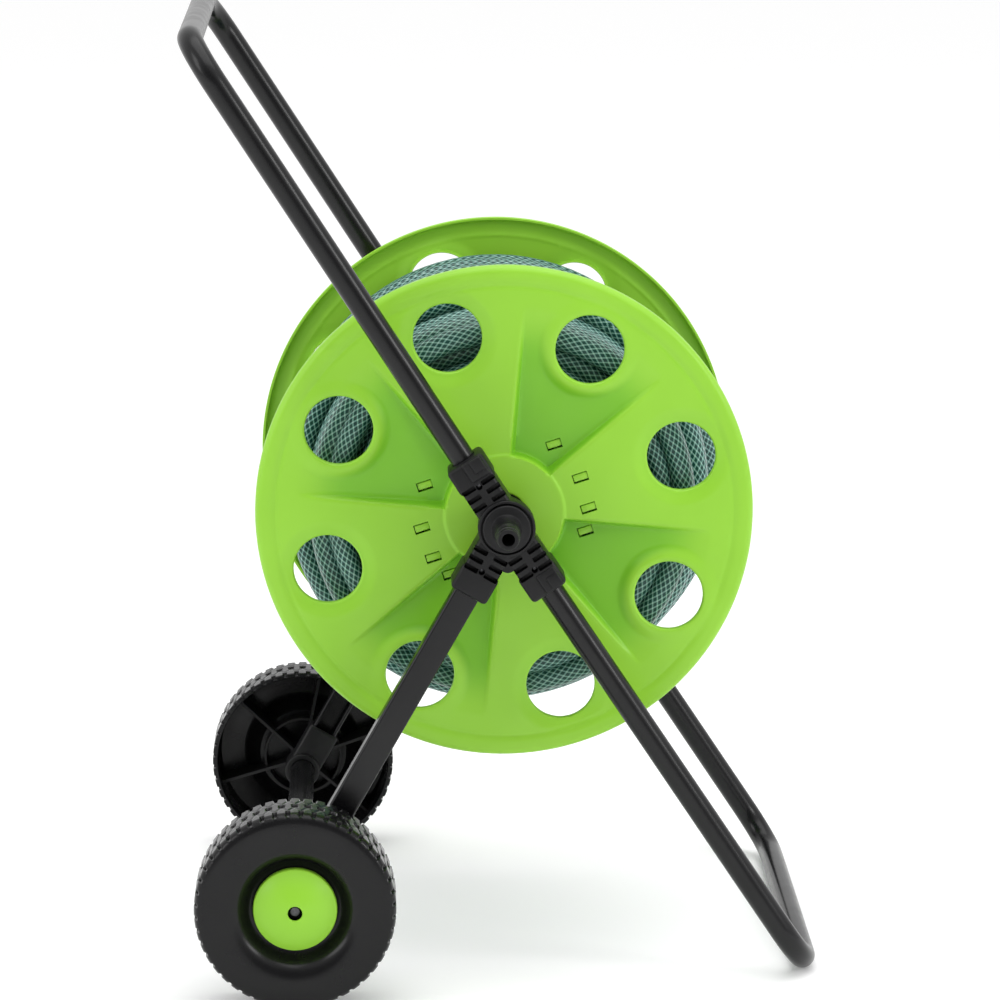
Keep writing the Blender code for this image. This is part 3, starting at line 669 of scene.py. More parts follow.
def flange_points():
    """Where the face is sampled: rings, lines beside the recess walls, and rings round the holes."""
    rings = list(np.arange(FLANGE_BORE_R + 0.0025, PAD_R - 0.0025, 0.0032))
    rings += list(PAD_R + np.array((-0.0016, -0.0006, 0.0002, 0.0010, 0.0018)))
    rings += list(np.arange(PAD_R + 0.0036, 0.1625, 0.0023))
    rings += [0.1636, 0.1645, 0.1655, 0.1665, 0.1676, 0.169, 0.1708, 0.1728]
    pts = np.concatenate([circle(r, 8 * max(4, ceil(2 * pi * r / 0.0024 / 8)), start=PHASE) for r in rings])
    r = distance(pts)
    edge, inside = sector_edge(pts)
    edge = np.where(inside, edge, -np.abs(edge))
    by_wall = (r > PAD_R + 0.003) & (r < RECESS_END + 0.004) & (edge < WALL + 0.0012) & (edge > -0.0013)
    pts = pts[~by_wall]
    lines = []
    for k in range(8):
        sign = 1 if recessed(k) else -1
        for off in (0.0, 0.0007, 0.0014, 0.0020, 0.0026, 0.0033, 0.0040):
            for r in np.arange(PAD_R + 0.0030, RECESS_END + 0.004, 0.0022):
                lines.append(at_angle(PHASE + k * SECTOR + sign * asin(off / r), r))
    pts = np.concatenate((pts, np.array(lines)))
    for angle in HOLES:
        pts = pts[distance(pts, at_angle(angle, HOLE_AT)) > DISH_R + 0.0026]
    for angle in CLIPS:
        pts = pts[~in_slot(pts, angle, 0.0008)]
    round_hole = (
        0.0274, 0.0279, 0.0285, 0.0294, 0.0305, 0.0317, 0.0330, 0.0343, 0.0356, 0.0368, 0.0378, 0.0390)
    extra = [circle(r, 96, at_angle(angle, HOLE_AT)) for angle in HOLES for r in round_hole]
    return np.concatenate([pts, *extra])


def flange_net(loops):
    """The face as a flat net: its points, its triangles, and the points' numbers round each loop."""
    coords, edges, spans = [Vector(p) for p in flange_points()], [], []
    for _, ring, _ in loops:
        start, number = len(coords), len(ring)
        coords += [Vector(p) for p in ring]
        spans.append(range(start, start + number))
        edges += [(start + i, start + (i + 1) % number) for i in range(number)]
    points, _, tris, origin, _, _ = delaunay_2d_cdt(coords, edges, [], 0, 1e-7)
    new_of = {old: new for new, olds in enumerate(origin) for old in olds}
    flat = np.array([p[:] for p in points])
    tris = np.array([t[:] for t in tris])
    middle = flat[tris].mean(1)
    keep = (distance(middle) < FACE_R) & (distance(middle) > BORE_R)
    for angle in HOLES:
        keep &= distance(middle, at_angle(angle, HOLE_AT)) > HOLE_R + HOLE_ROUND - 0.00005
    for angle in CLIPS:
        keep &= ~in_slot(middle, angle, 0.0)
    return flat, tris[keep], [[new_of[i] for i in span] for span in spans]


def flange_mesh(side):
    """One moulded disc: the sculpted face, its inner side, and the rims of every opening."""
    loops = [("rim", circle(FACE_R, 288, start=PHASE), np.zeros(2))]
    loops.append(("bore", circle(BORE_R, 64, start=PHASE), np.zeros(2)))
    for spot in (at_angle(angle, HOLE_AT) for angle in HOLES):
        loops.append(("hole", circle(HOLE_R + HOLE_ROUND, 96, spot), spot))
    loops += [("slot", slot_outline(angle), slot_place(angle)) for angle in CLIPS]
    flat, tris, indices = flange_net(loops)
    high = flange_height(flat)
    count = len(flat)

    def at(xz, h):
        return xz[0], side * (FLANGE_OUTER + h), xz[1]

    verts = [at(p, h) for p, h in zip(flat, high)]
    verts += [at(p, h - SKIN) for p, h in zip(flat, high)]
    faces = []
    for t in tris:
        faces += [[int(i) for i in t], [int(i) + count for i in t]]
    for (kind, _, centre), index in zip(loops, indices):
        rings = [index]
        for push, drop in EDGES[kind]:
            new = []
            for i in index:
                way = flat[i] - centre
                new.append(len(verts))
                verts.append(at(flat[i] + way / np.linalg.norm(way) * push, high[i] + drop))
            rings.append(new)
        rings.append([i + count for i in index])
        for upper, lower in zip(rings, rings[1:]):
            for i in range(len(index)):
                faces.append([upper[i - 1], upper[i], lower[i], lower[i - 1]])
    mesh = mesh_of("flange", [HUB + Vector(v) for v in verts], faces)
    # the recesses' painted shade, kept as a point attribute that the green plastic mixes in
    store = mesh.attributes.new("hollow", "FLOAT", "POINT")
    recess_shade = flange_painted_shade(flat)
    edge = np.zeros(len(verts) - 2 * count)
    store.data.foreach_set("value", np.concatenate((recess_shade, recess_shade, edge)).astype(np.float32))
    bm = bmesh_of(mesh)
    bmesh.ops.delete(bm, geom=[v for v in bm.verts if not v.link_faces], context="VERTS")
    return smooth(data_of(turned_out(bm)), 50)


for label, side in SIDES.items():
    show(f"flange_{label}_moulding", flange_mesh(side), f"flange_{label}")

# ---- the wound hose
ELBOW_AT, ELBOW_ANGLE = 0.0953, radians(80)
OUTLET_AT = (0.034, 0.0245)  # where the hose sits in the nut, along the arm and the outlet
HOSE_BEND_R = 0.050  # from the nut out to the first layer
CONNECTOR_ANGLE, CONNECTOR_AT, CONNECTOR_Y = radians(-64), 0.1656, 0.050
LAYERS = (0.0695, 0.0850, 0.1004, 0.1157, 0.1308, 0.1452)  # the winding's six radii
LAYER_TURNS = 12.2
LAST_LAYER_SHARE = 0.72  # the outer layer stops short of the flange
LAYER_HALF, SIDE_LIMIT = 0.1075, 0.1125  # how far a layer's turns lie from the middle, and at most
WANDER_Y, WANDER_R = 0.0030, 0.0013  # how unevenly the turns lie
SAG, SAG_ANGLE = 0.030, radians(228)  # the outer turns hang a little below and behind the drum
RING_SPACING = 0.011
ARM = polar(ELBOW_ANGLE, 1)
OUTLET = polar(ELBOW_ANGLE - pi / 2, 1)


def wander(turn, seed):
    """A smooth wobble that never repeats from turn to turn, from -1 to 1."""
    waves = ((0.5, 0.73, 1.0), (0.3, 1.91, 2.1), (0.2, 4.3, 0.7))
    return sum(size * sin(turn * pace + lag * seed) for size, pace, lag in waves)


def hose_knots(radius, target):
    """(angle turned, radius, y) where the winding changes, the last at the connector's angle, target."""
    at, way = 1.6 * pi, 1
    knots = [(0.0, radius, -ELBOW_AT), (at, LAYERS[0], -LAYER_HALF)]
    for k, r in enumerate(LAYERS):
        at += 0.5 * pi
        knots.append((at, r, -way * LAYER_HALF))
        last = k == len(LAYERS) - 1
        share = LAST_LAYER_SHARE if last else 1.0
        at += (LAYER_TURNS - 0.5) * 2 * pi * share
        end_y = way * LAYER_HALF * (2 * share - 1)
        knots.append((at, r, end_y))
        at += 0.5 * pi
        knots.append((at, r, end_y))
        if not last:
            at += 1.1 * pi
            knots.append((at, LAYERS[k + 1], end_y))
        way = -way
    whole = ceil((at + 2.2 * pi - target) / (2 * pi)) * 2 * pi + target
    knots.append((whole - 2.0, LAYERS[-1], end_y * 0.55 + CONNECTOR_Y * 0.45))
    knots.append((whole - 0.72, CONNECTOR_AT - 0.0006, CONNECTOR_Y))
    knots.append((whole - 0.10, CONNECTOR_AT, CONNECTOR_Y))
    return knots


def hose_route():
    """Ring centres: out of the nut, round in six layers, then up to the end connector."""
    start = ARM * OUTLET_AT[0]
    centre = start - ARM * HOSE_BEND_R + OUTLET * 0.030
    route = [beside(-ELBOW_AT, start + OUTLET * reach) for reach in (OUTLET_AT[1], 0.0275)]
    lead = atan2(centre.dot(OUTLET), centre.dot(ARM))
    steps = 9
    for i in range(steps):
        a = lead * i / steps
        route.append(beside(-ELBOW_AT, centre + (ARM * cos(a) + OUTLET * sin(a)) * HOSE_BEND_R))
    angle = ELBOW_ANGLE - lead
    knots = hose_knots(centre.length + HOSE_BEND_R, angle - CONNECTOR_ANGLE)
    turns, radii, ys = np.array(knots).T
    total = turns[-1]
    turn = 0.06
    while turn < total:
        i = int(np.searchsorted(turns, turn)) - 1
        t = (turn - turns[i]) / (turns[i + 1] - turns[i])
        soft = t * t * (3 - 2 * t)
        level = abs(radii[i + 1] - radii[i]) < 1e-6
        r = radii[i] + (radii[i + 1] - radii[i]) * soft
        y = ys[i] + (ys[i + 1] - ys[i]) * (t if level else soft)
        steady = min(1.0, turn / 4.0) * min(1.0, max(0.0, (total - turn - 0.9) / 3.0))
        depth = (r - LAYERS[0]) / (LAYERS[-1] - LAYERS[0])
        y += steady * WANDER_Y * wander(turn, 1.3)
        y = max(-SIDE_LIMIT, min(SIDE_LIMIT, y))
        a = angle - turn
        slack = 1 + steady * depth * SAG * (0.5 + 0.5 * cos(a - SAG_ANGLE))
        r = r * slack + steady * WANDER_R * wander(turn, 4.1)
        route.append(polar(a, r, y))
        turn += RING_SPACING / r
    spot, tangent = polar(CONNECTOR_ANGLE, CONNECTOR_AT, CONNECTOR_Y), polar(CONNECTOR_ANGLE - pi / 2, 1)
    route.append(spot - tangent * 0.0150)
    route.append(spot - tangent * 0.0075)
    return [HUB + p for p in route]


def hose_mesh(route, sides=14):
    """The hose's tube, with UV as metres along and turns round."""
    mesh = tube_mesh(route, HOSE_R, sides)
    along = np.concatenate(([0.0], np.cumsum([(b - a).length for a, b in zip(route, route[1:])])))
    layer = mesh.uv_layers.new(name="UVMap")
    starts = np.zeros(len(mesh.polygons), int)
    mesh.polygons.foreach_get("loop_start", starts)
    corner = np.zeros(len(mesh.loops), int)
    mesh.loops.foreach_get("vertex_index", corner)
    ring, spoke = corner // sides, corner % sides
    uv = np.stack((along[ring], spoke / sides), 1)
    quads = starts[:-2]
    for k in (1, 2):
        wrap = spoke[quads + k] == 0
        uv[(quads + k)[wrap], 1] = 1.0
    layer.data.foreach_set("uv", uv.astype(np.float32).ravel())
    mesh.shade_smooth()
    return mesh, float(along[-1])


route = hose_route()
hose_data, HOSE_LENGTH = hose_mesh(route)
hose = show("wound_hose", hose_data, "hose_winding")
CONNECTOR = mm(
    (4.6, 22.5), (9.8, 22.5), (10.8, 21.5), (10.8, 2), (9.6, 0), (11.2, -2), (11.2, -21.5), (10.4, -22.5),
    (9.05, -22.5), (9.05, -6), (4.6, -6))
spot = aligned(HUB + polar(CONNECTOR_ANGLE, CONNECTOR_AT, CONNECTOR_Y), polar(CONNECTOR_ANGLE - pi / 2, 1))


def grip(r, h, a):
    """Finger flutes round the connector's sleeve."""
    fluted = 0.0110 < r + 0.0006 and -0.0200 < h < -0.0035
    return r - (0.0005 * max(0.0, cos(14 * a)) if fluted else 0.0)


connector = show("hose_connector", lathe(CONNECTOR, spot, 84, reach=grip), "hose_end_connector")

# ---- the drum's core and its clips
CORE_R, CORE_WALL = 0.060, 0.0025
CORE_HALF = 0.1205
CORE_JOINT = 0.0003  # half the gap between the halves
TAB_SIZE = (0.0105, 0.0050)
WINDOW_R, WINDOW_REACH, WINDOW_TURN = 0.0105, 0.024, radians(24.6)  # where the hose leaves the core
WINDOW_AT = (0.0295, 0.0508)  # along the elbow's arm and its outlet


def core_mesh(sign):
    """Half of the core with its clips, which end just under the flange's face."""
    middle = CLIP_AXIS + PHASE
    joint = CORE_JOINT / CORE_R
    start, end = sorted((middle + sign * joint, middle + sign * (pi - joint)))
    inner = CORE_R - CORE_WALL
    corners = ((CORE_R, -CORE_HALF), (CORE_R, CORE_HALF), (inner, CORE_HALF), (inner, -CORE_HALF))
    rings = [[HUB + polar(a, r, y) for r, y in corners] for a in np.linspace(start, end, 41)]
    tools = []
    if sign < 0:
        heading = (OUTLET * cos(WINDOW_TURN) - ARM * sin(WINDOW_TURN)) * WINDOW_REACH
        window = beside(-ELBOW_AT) + ARM * WINDOW_AT[0] + OUTLET * WINDOW_AT[1]
        tools.append(cut(bar(WINDOW_R, window - heading, window + heading, 32)))
    meshes = [combine(turned_out(bmesh_of(loft(rings))), tools)]
    for side in SIDES.values():
        for clip in CLIP_ANGLES:
            spot = slot_place(middle + sign * clip, 0.0002, 0.0003)
            top = FLANGE_OUTER + float(flange_height(spot[None])[0]) - 0.0006
            low = CORE_HALF - 0.004
            place = Matrix.Translation(HUB + Vector((spot[0], side * (top + low) / 2, spot[1])))
            place @= Matrix.Rotation(-CLIP_WAY, 4, "Y")
            meshes.append(data_of(solid((TAB_SIZE[0], top - low, TAB_SIZE[1]), place, 0.0005, 2)))
    return smooth(data_of(bmesh_of(*meshes)))


show("core_front", core_mesh(-1), "core_shell_front")
show("core_back", core_mesh(1), "core_shell_back")


# ---- tubes, struts and axle
TUBE_START = 0.024  # the tubes and struts start in the brackets' sockets
TUBE_STEP = 0.02
STRUT_END = STRUT_LENGTH - 0.0168  # where the struts stand in the collars
STRUT_CORNER, STRUT_LIP, STRUT_FILLET = 0.0022, 0.0008, 0.001
COLLAR_R, COLLAR_HALF = 0.0135, 0.0125
AXLE_BORE_R = 0.0098
STUB_SIZE, POCKET_SIZE = (0.0246, 0.0190, 0.0320), (0.0200, 0.0146, 0.0300)
STUB_MIDDLE, POCKET_MIDDLE = STRUT_LENGTH - 0.0200, STRUT_LENGTH - 0.0165 - 0.015


def frame_tube(direction, reach, node):
    """A U of gloss tube from one bracket to the other."""
    start, top = HUB + direction * TUBE_START, HUB + direction * reach
    corners = [beside(-FRAME_Y, start), beside(-FRAME_Y, top), beside(FRAME_Y, top), beside(FRAME_Y, start)]
    path = rounded_path(corners, BEND_R, 20)
    fine = [path[0]]
    for a, b in zip(path, path[1:]):
        pieces = max(1, round((b - a).length / TUBE_STEP))
        fine += [a.lerp(b, (k + 1) / pieces) for k in range(pieces)]
    show(f"{node}_bent", smooth(tube_mesh(fine, TUBE_R, 36), 50), node)


frame_tube(HANDLE_DIR, HANDLE_REACH, "handle_tube")
frame_tube(FOOT_DIR, FOOT_REACH, "foot_tube")


def arm_frame(direction, side, facing):
    """Local Z along an arm from the drum's axle, local Y facing along Y, at the middle of the tubes."""
    up = Vector((0, facing, 0))
    turn = Matrix((up.cross(direction), up, direction)).transposed().to_4x4()
    return Matrix.Translation(beside(side * FRAME_Y)) @ turn


def strut_mesh(side):
    """A rolled channel: flat outer face, round corners, open towards the drum."""
    half_w, half_d, corner, lip = STRUT_WIDTH / 2, STRUT_DEPTH / 2, STRUT_CORNER, STRUT_LIP
    inner, floor = half_w - STRUT_WALL, STRUT_WALL - half_d
    outline = []
    for cx, start in ((-half_w + corner, pi), (half_w - corner, 1.5 * pi)):
        for k in range(7):
            a = start + pi / 2 * k / 6
            outline.append((cx + corner * cos(a), -half_d + corner + corner * sin(a)))
    flank = [(half_w, half_d - lip), (half_w - lip, half_d), (inner + lip, half_d), (inner, half_d - lip)]
    flank += [(inner, floor + STRUT_FILLET), (inner - STRUT_FILLET, floor)]
    outline += flank + [(-x, y) for x, y in reversed(flank)]
    place = arm_frame(STRUT_DIR, side, -side)
    rings = [[place @ Vector((x, y, z)) for x, y in outline] for z in np.linspace(TUBE_START, STRUT_END, 12)]
    return smooth(data_of(turned_out(bmesh_of(loft(rings)))), 40)


def collar_mesh(side):
    """The moulded foot of a strut: a ring on the sleeve and a rounded pocket."""
    middle = beside(side * FRAME_Y, AXLE)
    place = arm_frame(STRUT_DIR, side, -side)
    ring = [(COLLAR_R, COLLAR_HALF), (COLLAR_R, -COLLAR_HALF), (0.004, -COLLAR_HALF), (0.004, COLLAR_HALF)]
    return combine(bmesh_of(lathe(ring, outward(1, middle), 56, corner=0.0014)), [
        add(solid(STUB_SIZE, moved(place, 0, 0, STUB_MIDDLE), 0.0022)),
        cut(solid(POCKET_SIZE, moved(place, 0, 0, POCKET_MIDDLE))),
        cut(bar(AXLE_BORE_R, beside(-2 * COLLAR_HALF, middle), beside(2 * COLLAR_HALF, middle)))])


for label, side in SIDES.items():
    show(f"strut_{label}", strut_mesh(side), f"rear_strut_{label}")
    show(f"foot_collar_{label}", collar_mesh(side), f"axle_collar_{label}")
SLEEVE = mm(*((9.5, y) for y in (190, 188.5, 60, -60, -188.5, -190)), (8.3, -190), (8.3, 190))
show("sleeve", lathe(SLEEVE, outward(1, AXLE), 48), "axle_sleeve")
ROD = mm((0, 237.5), (3.4, 237.5), (4, 236.9), (4, 235))
ROD += [(r, -y) for r, y in reversed(ROD)]
show("rod", lathe(ROD, outward(1, AXLE), 32, closed=False), "axle_rod")

# ---- wheels
BLOCKS = 48  # tread lugs along each edge
BLOCK_PITCH = 2 * pi * WHEEL_R / BLOCKS
TREAD_STEP = 0.00062  # how finely the tread is sampled across
TREAD_DEPTH = 0.0023
TREAD_MIDDLE = 0.0212  # from the wheel's inner edge
TREAD_FROM_R = 0.0695  # the tread's cuts end on the shoulders, at this radius
PIT = (0.0018, 0.0038)  # half sizes of the middle line's pits, round and across the wheel
NOTCH = (0.0014, 0.0136)  # the edge notches' half width, and where they start from the middle
GROOVE_HALF = 0.0009  # a shallow groove runs slantwise from each pit to the next notches
GROOVE_SHARE = 0.17


def tread(r, h, a):
    """The tread's radius: lugs parted by edge notches, a staggered line of pits and slanting grooves."""
    if r < TREAD_FROM_R:
        return r
    off = abs(h - WHEEL_INNER_Y - TREAD_MIDDLE)
    phase = (a * BLOCKS / (2 * pi)) % 1.0
    fold = min(phase, 1 - phase)
    pit = ease((PIT[0] - fold * BLOCK_PITCH) / 0.0009 + 0.5) * ease((PIT[1] - off) / 0.0014 + 0.5)
    notch = ease((NOTCH[0] - (0.5 - fold) * BLOCK_PITCH) / 0.0009 + 0.5)
    notch *= ease((off - NOTCH[1]) / 0.0014 + 0.5)
    slant = min(max((off - PIT[1]) / (NOTCH[1] - PIT[1]), 0), 1) / 2
    groove = GROOVE_SHARE * ease(1.3 - abs(fold - slant) * BLOCK_PITCH / GROOVE_HALF)
    return min(r, WHEEL_R - TREAD_DEPTH * float(max(pit, notch, groove)))


WHEEL_FRONT = mm(  # (radius, distance from the wheel's inner edge), from the bore out to the tread
    (4.3, 39), (9.5, 39), (10, 38.5), (10.5, 34), (11.2, 33), (32.2, 33), (34, 33.6), (35.8, 35.2),
    (37.4, 37.6), (39, 40), (41, 42.2), (44, 44.1), (48, 45.2), (53, 45.8), (59, 45.9), (64.5, 45.7),
    (67.8, 45.1), (69.4, 44.3), (70.6, 43), (71.4, 41.4), (71.9, 39.8))
WHEEL_BACK = mm(  # from the tread in to the bore
    (71.7, 0.5), (71.2, 0.1), (70.4, 0), (68.4, 0), (68, 0.6), (68, 39), (66, 41), (48, 42.5), (44, 40.5),
    (37, 32), (34.5, 30), (11.2, 30), (10.5, 29), (10, 0.5), (9.5, 0), (4.3, 0))
RIB = mm((9.8, 8), (68.5, 15), (68.5, 40), (48, 43.2), (36, 31.2), (9.8, 31.2))
RIB_RING = mm((31.2, 31), (31.2, 16), (29, 16), (29, 31))
RIB_HALF, RIB_TURN = 0.0011, radians(18)


def wheel_line(points):
    """A line on the wheel's section, set out along the axle."""
    return [(r, WHEEL_INNER_Y + s) for r, s in points]


def rib_meshes(side):
    """Six spokes and a ring inside the wheel, as plates."""
    meshes = []
    for k in range(6):
        a = RIB_TURN + k * pi / 3
        meshes.append(loft([
            [beside(side * y, AXLE + polar(a, r) + polar(a + pi / 2, half)) for r, y in wheel_line(RIB)]
            for half in (-RIB_HALF, RIB_HALF)]))
    meshes.append(lathe(wheel_line(RIB_RING), outward(side, AXLE), 72, corner=0.0005))
    return smooth(data_of(turned_out(bmesh_of(*meshes))))


CAP_DOME_R, CAP_SKIN = 0.0464, 0.0024


def cap_line(skin, radii):
    """Points of the cap's dome, or of its inside when a skin's thickness is given."""
    return [(r, CAP_FACE - skin - (CAP_DOME_R - sqrt(CAP_DOME_R ** 2 - r * r))) for r in radii]


CAP = [(0.0052, CAP_FACE - 0.0008)]
CAP += cap_line(0.0, (0.0058, 0.0090, 0.0125, 0.0160, 0.0195, 0.0225, 0.0250, 0.0270, 0.0284))
CAP += mm((29.3, 233.4), (29.8, 232.7), (30, 231.8), (30, 227.3), (27.8, 227.3), (27.8, 231))
CAP += reversed(cap_line(CAP_SKIN, (0.0052, 0.0090, 0.0140, 0.0190, 0.0235)))
TREAD_LINE = [(WHEEL_R, s) for s in np.arange(0.0390, 0.0009, -TREAD_STEP)]
WHEEL = wheel_line(WHEEL_FRONT + TREAD_LINE + WHEEL_BACK)
for label, side in SIDES.items():
    on_axle = outward(side, AXLE)
    show(f"wheel_{label}_tyre", lathe(WHEEL, on_axle, BLOCKS * 10, corner=0, reach=tread), f"wheel_{label}")
    show(f"wheel_{label}_ribs", rib_meshes(side), slot="black_plastic", body=f"wheel_{label}")
    show(f"cap_{label}", lathe(CAP, on_axle, 96, corner=0.0004), f"hub_cap_{label}")

# ---- hub brackets and their screws
BOSS = mm((20.5, 191.5), (20.5, 176), (15.5, 173), (15.5, 144), (6, 144), (6, 191.5))
ARMS = {"handle": HANDLE_DIR, "foot": FOOT_DIR, "strut": STRUT_DIR}
NECK = (0.0265, 0.0310, 0.0440)  # across, along the axle, out from the hub
NECK_OFFSET = 0.0013  # their outer faces stand further from the tubes
COLLAR = (0.0290, 0.0320, 0.0210)
COLLAR_OFFSET, COLLAR_MIDDLE = 0.0014, 0.0460
STEP, STEP_AT = (0.0158, 0.0080, 0.0160), (0.0050, 0.0148, 0.0482)  # the collars' raised corners
PAD, PAD_AT = (0.0096, 0.0040, 0.0104), (0.0076, 0.0180, 0.0502)
SOCKET = (0.0235, 0.060)  # from the hub's middle, along an arm
STRUT_POCKET = (0.0200, 0.0146, SOCKET[1] - SOCKET[0])
SLOT_ROWS, SLOT_WIDTH, SLOT_ACROSS = (0.0229, 0.0299, 0.0372), 0.0038, (0.0106, 0.0079)
SLOT_FLOOR, SLOT_TOP = {"handle": 0.0101, "foot": 0.0101, "strut": 0.0084}, 0.020
SCREW_AT = 0.036
BORES = ((0.0131, 0.130, 0.210, 64), (0.0187, 0.187, 0.210, 72))  # for the inlet's or bush's body and flange
SCREW_HOLES = ((0.0023, 0.1829, 0.195, 24), (0.0016, 0.175, 0.184, 16))
WEB_AT, WEB_R = (STRUT_DIR + FOOT_DIR).normalized() * 0.0262, 0.0062  # fills the crotch below the boss


def bracket_mesh(side):
    """The moulded Y: boss, ribbed necks, collars with their raised corners, sockets and bores."""
    def rod(radius, low, high, sides, spot=Vector()):
        return bar(radius, beside(side * low, HUB + spot), beside(side * high, HUB + spot), sides)

    frames = {arm: arm_frame(direction, side, side) for arm, direction in ARMS.items()}
    tools = []
    for place in frames.values():
        tools.append(add(solid(NECK, moved(place, 0, NECK_OFFSET, NECK[2] / 2), 0.0032, 4)))
        tools.append(add(solid(COLLAR, moved(place, 0, COLLAR_OFFSET, COLLAR_MIDDLE), 0.0032, 4)))
    tools.append(add(rod(WEB_R, FRAME_Y - 0.0130, FRAME_Y + 0.0160, 24, WEB_AT)))
    for arm, sign in (("handle", side), ("foot", -side)):
        for size, (x, y, z), bevel in ((STEP, STEP_AT, 0.0022), (PAD, PAD_AT, 0.0016)):
            tools.append(add(solid(size, moved(frames[arm], sign * x, y, z), bevel, 4)))
        start, mouth = (beside(side * FRAME_Y) + ARMS[arm] * reach for reach in SOCKET)
        tools.append(cut(bar(TUBE_R + 0.0003, start, mouth)))
    tools.append(cut(solid(STRUT_POCKET, moved(arm_frame(STRUT_DIR, side, -side), 0, 0, sum(SOCKET) / 2))))
    tools += [cut(rod(*bore)) for bore in BORES]
    for arm, place in frames.items():
        tools += [cut(rod(*hole, ARMS[arm] * SCREW_AT)) for hole in SCREW_HOLES]
        low = SLOT_FLOOR[arm]
        size = (SLOT_ACROSS[0], SLOT_TOP - low, SLOT_WIDTH)
        tools.append(cut(bmesh_of(*(
            data_of(solid(size, moved(place, sign * SLOT_ACROSS[1], (low + SLOT_TOP) / 2, row), 0.0008, 2))
            for row in SLOT_ROWS for sign in (-1, 1)))))
    return combine(bmesh_of(lathe(BOSS, outward(side), 72, corner=0.0012)), tools)


def cross_cuts(place, height, length, width):
    """The two cuts of a cross recess."""
    return [cut(solid(size, moved(place, 0, 0, height))) for size in (
        (length, width, 2 * width), (width, length, 2 * width))]


SCREW = mm((0, 184.6), (1.3, 184.5), (2, 184.1), (2.1, 183.6), (1.4, 183), (1.2, 177), (0, 176.2))


def screw_mesh(side, direction):
    """A self-tapping screw with a cross recess."""
    place = Matrix.Translation(direction * SCREW_AT) @ outward(side)
    base = bmesh_of(lathe(SCREW, place, 24, closed=False, corner=0.0002))
    return combine(base, cross_cuts(place, 0.1845, 0.0026, 0.0006))


for label, side in SIDES.items():
    show(f"bracket_{label}", bracket_mesh(side), f"hub_bracket_{label}")
    for arm, direction in ARMS.items():
        show(f"{arm}_screw_{label}_head", screw_mesh(side, direction), f"{arm}_screw_{label}")

# ---- water inlet, seals and bearing
INLET = mm(
    (4.6, 229.6), (7, 229.6), (7.7, 228.6), (7.7, 225), (6.2, 224.8), (6.2, 222.2), (7.7, 222),
    (7.7, 216.5), (8.9, 214), (8.9, 206.5), (7.7, 205), (7.7, 203.5), (8.8, 200), (9.8, 196), (11, 193.7),
    (15, 193), (16.3, 193), (17.2, 192.2), (17.2, 187.3), (12.8, 187.3), (12.8, 144.6), (10.5, 144.6),
    (10.5, 138.4), (9.2, 138.4), (9.2, 114.2), (7.2, 114.2), (7.2, 110.8), (9.2, 110.8), (9.2, 102.5),
    (4.6, 102.5))
show("inlet", lathe(INLET, outward(-1), 72, corner=0.0004), "water_inlet")


def hexed(r, h, a):
    """A hexagonal outside on a turned piece."""
    return min(r, 0.0132 / cos((a + pi / 6) % (pi / 3) - pi / 6)) if r > 0.0120 else r


LOCK_NUT = mm((10.9, 143.6), (14.2, 143.6), (14.8, 143), (14.8, 139.4), (14.2, 138.8), (10.9, 138.8))
show("lock_nut", lathe(LOCK_NUT, outward(-1), 96, corner=0, reach=hexed), "inlet_lock_nut")
BUSH = mm((9.5, 193), (16, 193), (17.2, 191.9), (17.2, 187.3), (12.8, 187.3), (12.8, 144), (9.5, 144))
show("bush", lathe(BUSH, outward(1), 64), "spindle_bush")


def ring_mesh(radius, thickness, height):
    """An O-ring on the inlet."""
    turns = [2 * pi * i / 16 for i in range(16)]
    circle = [(radius + thickness * cos(a), height - thickness * sin(a)) for a in turns]
    return lathe(circle, outward(-1), 56, corner=0)


show("nipple_ring", ring_mesh(0.0074, 0.0009, 0.2235), "nipple_seal")
show("swivel_ring", ring_mesh(0.0085, 0.0009, 0.1125), "swivel_seal")

# ---- small pieces on the axle
AXLE_PIECES = (  # piece, node, rounding of its corners, section
    ("plug", "sleeve_plug", 0.0004, mm((4.3, 190), (7.9, 190), (7.9, 168), (4.3, 168))),
    ("washer", "wheel_washer", 0.0002, mm((4.3, 193.5), (9, 193.5), (9, 191.5), (4.3, 191.5))),
    ("spring_nut", "push_nut", 0.0001, mm((4.3, 235.8), (6, 235.3), (8.5, 233.4), (8, 233.4), (4.3, 233.6))))
for label, side in SIDES.items():
    for piece, node, corner, section in AXLE_PIECES:
        show(f"{piece}_{label}", lathe(section, outward(side, AXLE), 48, corner=corner), f"{node}_{label}")

# ---- elbow and hose nut
ELBOW_R, ELBOW_BORE_R = 0.0090, 0.0055
CUP_R, CUP = 0.0152, (-0.084, -0.1367)  # the elbow's cup on the inlet's spigot
CUP_BORE_R, CUP_BORE = 0.0098, (-0.100, -0.138)


def elbow_mesh():
    """The swivel elbow: a cup on the inlet's spigot, an arm, and an outlet along the winding."""
    def spot(reach, offset=OUTLET_AT[0]):
        return beside(-ELBOW_AT) + ARM * offset + OUTLET * reach

    return combine(bar(CUP_R, *map(beside, CUP), 56), [
        add(bar(ELBOW_R, spot(0, 0), spot(0))),
        add(bar(ELBOW_R, spot(-0.009), spot(0.022))),
        cut(bar(ELBOW_BORE_R, spot(0, -0.002), spot(0), 32)),
        cut(bar(ELBOW_BORE_R, spot(-0.004), spot(0.023), 32)),
        cut(bar(CUP_BORE_R, *map(beside, CUP_BORE), 56))], 0.0007)


def winged(r, h, a):
    """Grip ribs round the nut."""
    return r - 0.0004 * (cos(18 * a) < 0) if r > 0.0120 else r


